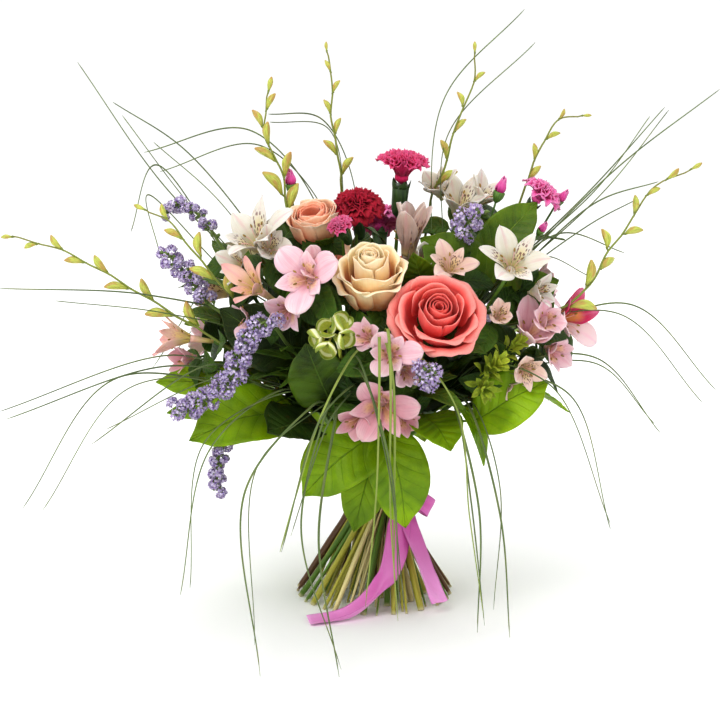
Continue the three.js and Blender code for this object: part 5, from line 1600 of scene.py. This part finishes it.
def strip_surface(path, width, curl, pinch):
    """A strip of ribbon along a path, with its flat side to the outside of the bundle. It is drawn
    together in the knot and curls lengthwise where it hangs."""

    def surface(u, v):
        share = v[:, 0]
        middle = path.at(share)
        laid = RIBBON["lay"] * np.clip(1 - middle[:, 2] / RIBBON["lay_below"], 0, None) ** 2
        outwards = unit(np.stack([middle[:, 0], middle[:, 1], laid], axis=-1))
        ahead = unit(path.at(np.minimum(share + 0.01, 1)) - path.at(np.maximum(share - 0.01, 0)))
        across = unit(np.cross(ahead, outwards))
        gather = 0.4 + 0.6 * soft_step(0, 0.22, share)
        gather = gather * (1 - pinch * soft_step(0.3, 0.62, share) * (1 - 0.5 * soft_step(0.8, 1, share)))
        half = (0.5 * width * gather)[:, None] * u
        fold = np.sqrt(np.clip(1 - gather**2, 0, 1))
        flat_end = 1 - 0.7 * soft_step(0.75, 1, share)
        cup = width * (curl + 0.3 * fold)[:, None] * (u**2 - 0.4) * flat_end[:, None]
        cup = cup + 0.05 * width * np.sin(3.5 * u + 7 * share[:, None]) * (1 - 0.5 * share[:, None])
        step = across[:, None, :] * half[..., None] + outwards[:, None, :] * cup[..., None]
        return middle[:, None, :] + step

    return surface


def loop_surface(path, width, across):
    """A loop of ribbon: the strip's width keeps one direction while its path runs out and back."""
    across = unit(vector(across))

    def surface(u, v):
        share = v[:, 0]
        gather = 0.5 + 0.5 * np.sin(math.pi * np.clip(share, 0.02, 0.98)) ** 0.7
        slack = 0.06 * width * np.sin(4 * u + 3) * gather[:, None]
        bend = np.stack([slack * 0, slack, slack * 0], axis=-1)
        return path.at(share)[:, None, :] + across * ((0.5 * width * gather)[:, None] * u)[..., None] + bend

    return surface


def build_ribbon(settings, finish):
    """Band, knot, loop and two tails, all cut from one ribbon."""
    width, thick = settings.width / MM, settings.thickness / MM
    waist = STEM["waist_height"]

    def strip(name, points, share, shape, *form):
        path = Path(points)
        skin = Skin()
        skin.blade(shape(path, width * share, *form), *BLADES["ribbon_strip"], thick, draw=0.5)
        piece = settle(skin.piece(name, finish), "ribbon")

    band = Skin()
    radius, tall = RIBBON["band_radius"] + 0.2, RIBBON["band_height"]

    def band_surface(u, v):
        angle = v * math.tau
        pleats = 0.35 * np.sin(4 * math.pi * u + 1.5 * np.sin(angle)) + 0.25 * np.sin(7 * angle + 2 * u)
        out = radius + 0.4 + pleats * (1 - 0.3 * u**2) - 0.5 * u**2
        height = waist + 0.5 * tall * u * (1 + 0.03 * np.sin(2 * angle))
        return round_axis(out, angle, height)

    band.blade(band_surface, *BLADES["ribbon_band"], thick, draw=0.2)
    piece = settle(band.piece("ribbon_band", finish), "ribbon", "ribbon")
    strip("ribbon_left_tail", RIBBON["left_tail"], 1, strip_surface, *LEFT_FORM)
    right_share = RIBBON["right_share"]
    strip("ribbon_right_tail", RIBBON["right_tail"], right_share, strip_surface, *RIGHT_FORM)
    strip("ribbon_loop", LOOP_PATH, RIBBON["loop_share"], loop_surface, LOOP_ACROSS)
    knot = Skin()
    centre = vector(RIBBON["knot"])
    outwards = unit(centre * (1, 1, 0))
    sideways = vector([-outwards[1], outwards[0], 0])

    def knot_surface(u, v):
        angle = v * math.tau
        pleat = 0.3 * np.sin(9 * u)
        out = (KNOT_OUT + pleat) * np.cos(angle)
        up = (KNOT_UP + pleat) * np.sin(angle)
        side = KNOT_HALF * u * (1 + 0.25 * np.sin(angle) ** 2)
        steps = zip(np.broadcast_arrays(out, up, side), (outwards, (0, 0, 1), sideways))
        return centre + sum(step[..., None] * vector(way) for step, way in steps)

    knot.blade(knot_surface, *BLADES["ribbon_knot"], thick, draw=0.8)
    piece = settle(knot.piece("ribbon_knot", finish), "ribbon")


# ---- Other finishes ----------------------------------------------------------------------------


def leaf_finish(name, fresh, deep, vein, rough=0.5, shade=0.3):
    """Waxy leaf: a fine midrib and curved side veins, a faint net and soft darker patches."""
    paint = Finish(name)
    along, aside, draw = paint.painted()
    side = abs(aside)
    slanted = (along * 1.25 - side * 0.3 + side * side * 0.1) * 7.5
    saw = paint.node("ShaderNodeMath", dict(operation="PINGPONG"), {0: slanted, 1: 0.5})
    ribs = (1 - saw.steps(0.0, 0.055)) * (1 - side.steps(0.7, 0.95)) * along.steps(0.16, 0.22)
    midrib = 1 - side.steps(0.01, 0.04)
    net = paint.node(
        "ShaderNodeTexVoronoi",
        dict(feature="DISTANCE_TO_EDGE"),
        {"Vector": paint.vector(aside * 9.0, along * 30.0, draw * 9.0), "Scale": 1.0},
    )
    mesh = 1 - net.steps(0.0, 0.1)
    cloud = paint.noise(paint.place(), 38.0, detail=4.0)
    pillow = saw.steps(0.0, 0.5)
    colour = paint.layered(
        deep,
        (cloud.steps(0.3, 0.7), fresh),
        (pillow * 0.18, fresh),
        (draw * shade, deep),
        (mesh * 0.1, vein),
        (ribs * 0.22, vein),
        (midrib * 0.5, vein),
    )
    bump = cloud * 0.2 + pillow * 0.6 - ribs * 0.3 - midrib * 0.6 - mesh * 0.12
    roughness = cloud * 0.15 + (rough - 0.08)
    return paint.surface(colour, roughness, bump, 0.0006, specular_ior_level=0.35, **GLOW)


def grass_finish(name, fresh, deep):
    """Matt grey-green blades with fine long ribs, straw-coloured towards some tips."""
    paint = Finish(name)
    along, aside, draw = paint.painted()
    ribs = paint.noise(paint.vector(aside * 5.0, along * 2.0, draw * 19.0), 3.0)
    long_patches = paint.noise(paint.vector(draw * 31.0, along * 4.0, 0.0), 2.0)
    colour = paint.layered(
        deep,
        (ribs.steps(0.35, 0.65), fresh),
        (draw * 0.4, deep),
        (long_patches.steps(0.5, 0.7) * 0.4 * along, *shades("straw")),
    )
    return paint.surface(colour, 0.6, ribs, 0.0002)


def stem_finish(name, fresh, deep, cut):
    """Stem bark with long streaks and blotches."""
    paint = Finish(name)
    along, aside, draw = paint.painted()
    streaks = paint.noise(paint.vector(aside * 3.0, along * 1.4, draw * 23.0), 3.0, detail=4.0)
    blotches = paint.noise(paint.place(), 70.0, detail=4.0)
    colour = paint.layered(
        deep,
        (streaks.steps(0.35, 0.7), fresh),
        (blotches.steps(0.5, 0.75) * 0.5, deep),
        (draw * 0.5, fresh),
        ((1 - along.steps(0.0, 0.03)) * 0.8, cut),
    )
    bump = streaks * 0.6 + blotches * 0.4
    return paint.surface(colour, blotches * 0.2 + 0.4, bump, 0.0004)


def bud_finish(name, fresh, deep, blush):
    """Waxy lime bud with bronze and peach along one side and at its tip; necks are green."""
    paint = Finish(name)
    along, aside, draw, neck = paint.painted("along aside draw kind")
    ribs = paint.noise(paint.vector(aside * 6.0, along * 1.2, draw * 17.0), 2.5, detail=3.0)
    patches = paint.noise(paint.vector(aside * 1.3, along * 1.1, draw * 29.0), 1.6, detail=2.0)
    colour = paint.layered(
        fresh,
        (ribs.steps(0.35, 0.7) * 0.6, deep),
        (patches.steps(0.45, 0.65) * 0.6, blush),
        (along.steps(0.8, 1.0) * 0.5, blush),
        ((1 - along.steps(0.05, 0.3)) * 0.6, deep),
        (neck * 0.75, *shades("bud_neck")),
    )
    return paint.surface(colour, 0.42, ribs, 0.0003, coat_weight=0.1, coat_roughness=0.4, **GLOW)


def cup_finish(name, fresh, rim, rib, edge):
    """Green bract: fine ribs, a pale band below its rim and a darker edge."""
    paint = Finish(name)
    along, aside, draw = paint.painted()
    ribs = paint.noise(paint.vector(aside * 7.0, along * 1.5, draw * 13.0), 2.5, detail=3.0)
    band = along.steps(0.42, 0.52) * (1 - along.steps(0.66, 0.78))
    colour = paint.layered(
        fresh,
        (ribs.steps(0.35, 0.7), rib),
        (band * 0.85, rim),
        (along.steps(0.74, 0.9) * 0.7, edge),
    )
    return paint.surface(colour, 0.45, ribs, 0.0003, **GLOW)


def floret_finish(name, tones):
    """Papery statice: lilac lobes, pale hearts in some and fine crinkles."""
    deep, main, rim = tones
    paint = Finish(name)
    along, draw, pale = paint.painted("along draw kind")
    crinkle = paint.noise(paint.place(), 900.0, detail=3.0)
    colour = paint.layered(
        deep,
        (draw, main),
        (crinkle.steps(0.4, 0.7) * 0.5, rim),
        (along.steps(0.5, 0.68) * 0.55, rim),
        (along.steps(0.85, 1.0) * (0.15 + pale * 0.35), *shades("floret_heart")),
    )
    return paint.surface(colour, 0.8, crinkle, 0.0003, sheen_weight=0.2, **GLOW)


def stamen_finish(name):
    """Pale threads that redden to their tips, with grainy brown and gold anthers."""
    paint = Finish(name)
    along, anther, draw = paint.painted("along kind draw")
    grains = paint.noise(paint.place(), 1800.0, detail=2.0)
    root, thread, brown, gold, grey = shades(name)
    pollen = paint.layered(brown, (grains, gold), (draw * 0.5, grey))
    colour = paint.blend(anther, paint.blend(along, root, thread), pollen)
    return paint.surface(colour, 0.7, grains, 0.0002)


def satin_finish(name, main, pale):
    """Satin ribbon: fine ribs across, a woven edge, and a painted sheen: a paler colour laid on lengthwise
    and in soft patches.
    """
    paint = Finish(name)
    along, aside = paint.painted("along aside")
    weave = paint.noise(paint.vector(aside * 90.0, along * 9.0, 0.0), 4.0, detail=2.0)
    warp = paint.noise(paint.vector(aside * 2.0, along * 60.0, 0.0), 6.0, detail=2.0)
    # Soft patches of painted sheen.
    sheen_patches = paint.noise(paint.place(), 22.0, detail=2.0)
    selvedge = abs(aside).steps(0.9, 0.97)
    colour = paint.layered(
        main,
        # Painted sheen: the light tone stands in for light that the satin catches, growing along the strip
        # and in patches.
        (along.steps(0.2, 0.95) * 0.6 + sheen_patches.steps(0.35, 0.75) * 0.3, pale),
        (weave.steps(0.4, 0.7) * 0.12, pale),
        (selvedge * 0.35, tuple(0.6 * part for part in main[:3])),
    )
    bump = weave * 0.5 + warp * 0.5 + selvedge * 0.6
    roughness = warp * 0.12 + 0.26
    return paint.surface(
        colour, roughness, bump, 0.00012, sheen_weight=0.5, sheen_roughness=0.35, anisotropic=0.5
    )


# ---- Settings ----------------------------------------------------------------------------------


def tone_property(label, code):
    """A setting for a colour."""
    return FloatVectorProperty(
        name=label,
        description=label + " colour",
        subtype="COLOR",
        size=3,
        min=0,
        max=1,
        default=linear(code),
    )


def length_property(label, description, default):
    """A setting for a length, in metres."""
    kind = dict(unit="LENGTH", subtype="DISTANCE", min=0.0001)
    return FloatProperty(name=label, description=description, default=default, **kind)


def count_property(label, description, least, most, default):
    """A setting for a whole number."""
    return IntProperty(name=label, description=description, min=least, max=most, default=default)


def level_property(label, description, least, most, default):
    """A setting for a plain number."""
    return FloatProperty(name=label, description=description, min=least, max=most, default=default)


class PetalSettings(bpy.types.PropertyGroup):
    """Petal thickness, petal counts and the three tones of every petal colour."""

    thickness: length_property("Petal thickness", "Thickness of a petal", 0.0006)
    rose_petals: count_property("Rose petals", "Petals of a large rose", 8, 80, 26)
    carnation_fans: count_property("Carnation petals", "Fringed petals of a large carnation", 8, 90, 44)
    __annotations__.update(
        {
            f"{tone}_{part}": tone_property(f"{tone} {part}".replace("_", " ").capitalize(), code)
            for tone, codes in PETAL_TONES.items()
            for part, code in zip(("deep", "main", "rim"), codes)
        }
    )

    def tones(self, name):
        """The deep, main and rim tones of a petal colour."""
        return [tuple(getattr(self, f"{name}_{part}")) for part in ("deep", "main", "rim")]


class LeafSettings(bpy.types.PropertyGroup):
    """Leaves, grass and buds."""

    thickness: length_property("Leaf thickness", "Thickness of a broad leaf", 0.0008)
    grass_thickness: length_property("Grass thickness", "Thickness of a grass blade", 0.0007)
    leaves_per_branch: count_property("Leaves per branch", "Slender leaves on each flower's stem", 0, 12, 5)
    inner_leaves: count_property("Inner leaves", "Dark broad leaves inside the dome", 0, 90, 46)
    bloom_leaves: count_property("Leaves under blooms", "Small leaves under each bloom", 0, 8, 4)
    grass_companions: count_property("Grass companions", "Slim blades beside every long one", 0, 4, 1)
    seed: count_property("Seed", "Start of the random draws", 0, 999, 11)
    fresh: tone_property("Leaf", "#97bd00")
    deep: tone_property("Leaf shade", "#648a00")
    vein: tone_property("Vein", "#466b00")
    grass_fresh: tone_property("Grass", "#8a9f5a")
    grass_deep: tone_property("Grass shade", "#48593a")
    bud_fresh: tone_property("Bud", "#cdd268")
    bud_deep: tone_property("Bud shade", "#8a9a30")
    bud_blush: tone_property("Bud tip", "#c08654")


class StemSettings(bpy.types.PropertyGroup):
    """The looks of the cut stems."""

    seed: count_property("Seed", "Start of the random draws", 0, 999, 7)
    fresh: tone_property("Fresh stem", "#6c9232")
    olive: tone_property("Olive stem", "#c0bc4c")
    woody: tone_property("Woody stem", "#75502c")
    pale: tone_property("Pale stem", "#f0e3a4")
    cut: tone_property("Cut end", "#dfd8ae")


class RibbonSettings(bpy.types.PropertyGroup):
    """The satin ribbon."""

    width: length_property("Width", "Width of the ribbon", RIBBON["width"] * MM)
    thickness: length_property("Thickness", "Thickness of the ribbon", 0.0004)
    main: tone_property("Satin", "#d75fb4")
    # The colour of the painted sheen on the satin.
    pale: tone_property("Satin light", "#f3aee4")


class StageSettings(bpy.types.PropertyGroup):
    """The camera's place and the studio light."""

    distance: length_property("Camera distance", "From the camera to its target", 1.6)
    elevation: FloatProperty(
        name="Elevation",
        description="How far the camera looks down",
        subtype="ANGLE",
        default=math.radians(12),
    )
    lens: FloatProperty(name="Lens", description="Focal length", unit="CAMERA", min=20, default=100)
    target: FloatVectorProperty(
        name="Target", description="What the camera looks at", subtype="XYZ", default=(-0.012, 0, 0.193)
    )
    floor_reach: length_property("Floor reach", "Half the floor's side", 20.0)
    ambient: level_property("Ambient", "Strength of the white surroundings", 0, 9, 0.95)
    gamma: level_property("Gamma", "Gamma of the view", 0.5, 2, 0.83)
    exposure: level_property("Exposure", "Exposure of the view", -3, 3, 0.16)
    floor: tone_property("Floor", "#fdfdfd")


# ---- Operators ---------------------------------------------------------------------------------


class BOUQUET_OT_stems(bpy.types.Operator):
    """Build the spiralled stems, the branches to the heads, the calyxes and the stem leaves"""

    bl_idname = "bouquet.stems"
    bl_label = "Stems"

    def execute(self, context):
        stems, leaves = context.scene.bouquet_stems, context.scene.bouquet_leaves
        finishes = {}
        for look in STEM_LOOKS:
            fresh = getattr(stems, look)
            deep = tuple(0.5 * part for part in fresh)
            finishes[look] = stem_finish("stem_" + look, fresh, deep, stems.cut)
        build_stems(stems, finishes)
        calyx = stem_finish("calyx", *shades("calyx"))
        settle(build_calyxes(calyx), "stem")
        settle(build_sepals(ROSES, calyx), "stem")
        slender = leaf_finish("stem_leaf", *shades("stem_leaf"))
        settle(build_stem_leaves(leaves, slender), "leaf")
        # Inner and bloom leaves are darkened a long way towards their deep tone, partly as painted shade.
        inner = leaf_finish("inner_leaf", *shades("inner_leaf"), shade=0.6)
        settle(build_inner_leaves(leaves, inner), "leaf")
        outer = leaf_finish("bloom_leaf", *shades("bloom_leaf"), shade=0.7)
        settle(build_bloom_leaves(leaves, outer), "leaf")
        return {"FINISHED"}


class BOUQUET_OT_ribbon(bpy.types.Operator):
    """Build the satin ribbon: band, knot, loop and tails"""

    bl_idname = "bouquet.ribbon"
    bl_label = "Ribbon"

    def execute(self, context):
        settings = context.scene.bouquet_ribbon
        build_ribbon(settings, satin_finish("satin", settings.main, settings.pale))
        return {"FINISHED"}


# Petal colours as they are looked for in a bloom's name. Slots are named after them.
TONE_ORDER = (
    "cream", "coral", "peach", "hot_pink", "crimson", "magenta", "mauve", "white", "blush", "pink",
)


def bloom_tones(petals, name):
    """The petal colour that a bloom's name gives, and the tones that it is painted in."""
    tone = next(tone for tone in TONE_ORDER if tone in name)
    return tone, petals.tones(OTHER_TONES.get(name, tone))


class BOUQUET_OT_roses(bpy.types.Operator):
    """Build the roses, petal by petal from the heart out"""

    bl_idname = "bouquet.roses"
    bl_label = "Roses"

    def execute(self, context):
        petals = context.scene.bouquet_petals
        for spec in ROSES:
            tone, (deep, main, rim) = bloom_tones(petals, spec["name"])
            heart = [0.6 * a + 0.4 * b for a, b in zip(rim if tone == "cream" else deep, main)]
            spread = (0.1, 0.8) if tone == "coral" else (0.2, 0.8)
            finish = petal_finish(spec["name"], (deep, main, rim), heart=heart, veined=0.1, spread=spread)
            count = round(petals.rose_petals * (0.5 + 0.125 * spec["rings"]))
            rose = build_rose(spec, count, petals.thickness / MM, finish)
            settle(rose, tone + "_petal", spec["name"])
        return {"FINISHED"}


class BOUQUET_OT_carnations(bpy.types.Operator):
    """Build the carnations with their fringed petals"""

    bl_idname = "bouquet.carnations"
    bl_label = "Carnations"

    def execute(self, context):
        petals = context.scene.bouquet_petals
        for spec in CARNATIONS:
            tone, tones = bloom_tones(petals, spec["name"])
            finish = petal_finish(spec["name"], tones, rough=0.7)
            count = round(petals.carnation_fans * spec["petals"] / 12)
            bloom = build_carnation(spec, count, petals.thickness / MM, finish)
            settle(bloom, tone + "_petal", spec["name"])
        return {"FINISHED"}


class BOUQUET_OT_lilies(bpy.types.Operator):
    """Build the alstroemerias and freesias with their stamens"""

    bl_idname = "bouquet.lilies"
    bl_label = "Alstroemerias and freesias"

    def execute(self, context):
        petals = context.scene.bouquet_petals
        dark = throat_streaks(*shades("dark_marks"))
        plain = throat_streaks(*shades("pale_marks"), strong=0.35)
        two_toned = throat_streaks(*shades("two_toned_marks"), strong=0.3)
        marks = dict(white=dark, blush=dark, magenta=two_toned)
        thick = petals.thickness / MM
        for spec in LILIES:
            tone, tones = bloom_tones(petals, spec["name"])
            finish = petal_finish(spec["name"], tones, marks.get(tone, plain))
            bloom = build_lilies(spec["name"] + "_petals", [spec], thick, finish)
            settle(bloom, tone + "_petal", spec["name"])
        for tone, specs in SIDE_LILIES.items():
            finish = petal_finish(tone + "_side_flower", petals.tones(tone), marks.get(tone, plain))
            blooms = build_lilies(tone + "_side_flowers", specs, thick, finish)
            settle(blooms, tone + "_petal")
        side = [spec for specs in SIDE_LILIES.values() for spec in specs]
        settle(build_stamens(LILIES + side, stamen_finish("stamens")), "white_petal")
        return {"FINISHED"}


class BOUQUET_OT_pink_buds(bpy.types.Operator):
    """Build the closed pink buds"""

    bl_idname = "bouquet.pink_buds"
    bl_label = "Pink buds"

    def execute(self, context):
        petals = context.scene.bouquet_petals
        green = stem_finish("bud_calyx", *shades("bud_calyx"))
        furled = petal_finish("pink_bud", petals.tones("bright_pink"))
        cups, tips = build_pink_buds(PINK_BUDS, green, furled)
        settle(cups, "stem")
        settle(tips, "hot_pink_petal")
        return {"FINISHED"}


class BOUQUET_OT_statice(bpy.types.Operator):
    """Build the lilac statice sprays"""

    bl_idname = "bouquet.statice"
    bl_label = "Statice"

    def execute(self, context):
        finish = floret_finish("statice_floret", context.scene.bouquet_petals.tones("statice"))
        for spec in STATICE:
            settle(build_statice(spec, finish), "statice", spec["name"])
        green = stem_finish("statice_stem", *shades("statice_stem"))
        settle(build_statice_stems(STATICE, green), "stem")
        return {"FINISHED"}


class BOUQUET_OT_buds(bpy.types.Operator):
    """Build the budding sprays and the green florets"""

    bl_idname = "bouquet.buds"
    bl_label = "Buds and green florets"

    def execute(self, context):
        leaves = context.scene.bouquet_leaves
        finish = bud_finish("bud", leaves.bud_fresh, leaves.bud_deep, leaves.bud_blush)
        for spec in SPRAYS:
            settle(build_bud_spray(spec, finish), "bud", spec["name"])
        cups = cup_finish("green_cup", *shades("green_cup"))
        settle(build_green_florets(GREEN_CUPS, cups), "bud", GREEN_CUPS["name"])
        return {"FINISHED"}


class BOUQUET_OT_leaves(bpy.types.Operator):
    """Build the broad veined leaves of the collar and the sides"""

    bl_idname = "bouquet.leaves"
    bl_label = "Broad leaves"

    def execute(self, context):
        settings = context.scene.bouquet_leaves
        bright = leaf_finish("broad_leaf", settings.fresh, settings.deep, settings.vein, rough=0.42)
        olive = leaf_finish("olive_leaf", *shades("olive_leaf"), rough=0.42)
        dark = leaf_finish("dark_leaf", *shades("dark_leaf"), rough=0.42, shade=0.85)
        for spec in SPRIGS:
            finish = dark if "dark" in spec["name"] else olive if "upper" in spec["name"] else bright
            thick = settings.thickness / MM
            settle(build_leaves(spec, thick, finish), "leaf", spec["name"])
        return {"FINISHED"}


class BOUQUET_OT_grass(bpy.types.Operator):
    """Build the tufts of bear grass"""

    bl_idname = "bouquet.grass"
    bl_label = "Bear grass"

    def execute(self, context):
        settings = context.scene.bouquet_leaves
        finish = grass_finish("grass", settings.grass_fresh, settings.grass_deep)
        # The front blades get a paler copy of the grass finish, partly as painted light.
        light = grass_finish("light_grass", *shades("light_grass"))
        settle(build_grass(LIGHT_GRASS, settings.grass_thickness / MM, 0, light), "grass")
        tips = leaf_finish("green_tip", *shades("green_tip"))
        settle(build_green_tips(GREEN_TIPS, tips), "leaf")
        for spec in GRASS:
            tuft = build_grass(spec, settings.grass_thickness / MM, settings.grass_companions, finish)
            settle(tuft, "grass", spec["name"])
        return {"FINISHED"}


# Name, place, side length in metres and power in watts.
STUDIO_LIGHTS = (
    ("key_light", (-0.8, -1.3, 1.9), 0.9, 14.0),
    ("back_light", (0.5, 1.3, 1.6), 1.0, 8.0),
)


class BOUQUET_OT_stage(bpy.types.Operator):
    """Set up the pale floor, the soft studio light and the camera"""

    bl_idname = "bouquet.stage"
    bl_label = "Stage"

    def execute(self, context):
        scene, settings = context.scene, context.scene.bouquet_stage
        mesh = bpy.data.meshes.new("floor")
        reach = settings.floor_reach
        corners = [(-reach, -reach, 0), (reach, -reach, 0), (reach, reach, 0), (-reach, reach, 0)]
        mesh.from_pydata(corners, [], [(0, 1, 2, 3)])
        paint = Finish("floor")
        grain = paint.noise(paint.place(), 3.0)
        tone = tuple(settings.floor)
        mesh.materials.append(paint.surface(paint.blend(grain * 0.03, tone, (0.85, 0.85, 0.85)), 0.9))
        floor = bpy.data.objects.new("floor", mesh)
        scene.collection.objects.link(floor)
        world = bpy.data.worlds.new("studio")
        world.use_nodes = True
        background = world.node_tree.nodes["Background"]
        background.inputs[0].default_value = (1, 1, 1, 1)
        background.inputs[1].default_value = settings.ambient
        scene.world = world
        scene.view_settings.view_transform = "Standard"
        scene.view_settings.gamma = settings.gamma
        scene.view_settings.exposure = settings.exposure
        target = Vector(settings.target)
        for name, place, size, power in STUDIO_LIGHTS:
            light = bpy.data.lights.new(name, "AREA")
            light.size = size
            light.energy = power
            lamp = bpy.data.objects.new(name, light)
            lamp.location = place
            lamp.rotation_euler = (target - Vector(place)).to_track_quat("-Z", "Y").to_euler()
            scene.collection.objects.link(lamp)
        lens = bpy.data.cameras.new("camera")
        lens.lens = settings.lens
        camera = bpy.data.objects.new("camera", lens)
        back = Vector((0, -math.cos(settings.elevation), math.sin(settings.elevation)))
        camera.location = target + back * settings.distance
        camera.rotation_euler = (-back).to_track_quat("-Z", "Y").to_euler()
        scene.collection.objects.link(camera)
        scene.camera = camera
        return {"FINISHED"}


class BOUQUET_PT_panel(bpy.types.Panel):
    """The bouquet's operators and settings"""

    bl_idname = "BOUQUET_PT_panel"
    bl_label = "Mixed Flower Bouquet"
    bl_space_type = "VIEW_3D"
    bl_region_type = "UI"
    bl_category = "Bouquet"

    def draw(self, context):
        for operator in OPERATORS:
            self.layout.operator(operator.bl_idname)
        for key, group in SETTINGS.items():
            box = self.layout.box()
            box.label(text=key.replace("_", " ").capitalize())
            for name in group.__annotations__:
                box.prop(getattr(context.scene, key), name)


SETTINGS = {
    "bouquet_petals": PetalSettings,
    "bouquet_leaves": LeafSettings,
    "bouquet_stems": StemSettings,
    "bouquet_ribbon": RibbonSettings,
    "bouquet_stage": StageSettings,
}
OPERATORS = (
    BOUQUET_OT_stems,
    BOUQUET_OT_ribbon,
    BOUQUET_OT_roses,
    BOUQUET_OT_carnations,
    BOUQUET_OT_lilies,
    BOUQUET_OT_pink_buds,
    BOUQUET_OT_statice,
    BOUQUET_OT_buds,
    BOUQUET_OT_leaves,
    BOUQUET_OT_grass,
    BOUQUET_OT_stage,
)
CLASSES = (*SETTINGS.values(), *OPERATORS, BOUQUET_PT_panel)


def register():
    for made in CLASSES:
        bpy.utils.register_class(made)
    for key, group in SETTINGS.items():
        setattr(bpy.types.Scene, key, PointerProperty(type=group))


def unregister():
    for key in SETTINGS:
        delattr(bpy.types.Scene, key)
    for made in reversed(CLASSES):
        bpy.utils.unregister_class(made)


def main():
    register()
    for operator in OPERATORS:
        group, name = operator.bl_idname.split(".")
        getattr(getattr(bpy.ops, group), name)()
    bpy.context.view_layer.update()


if __name__ == "__main__":
    main()
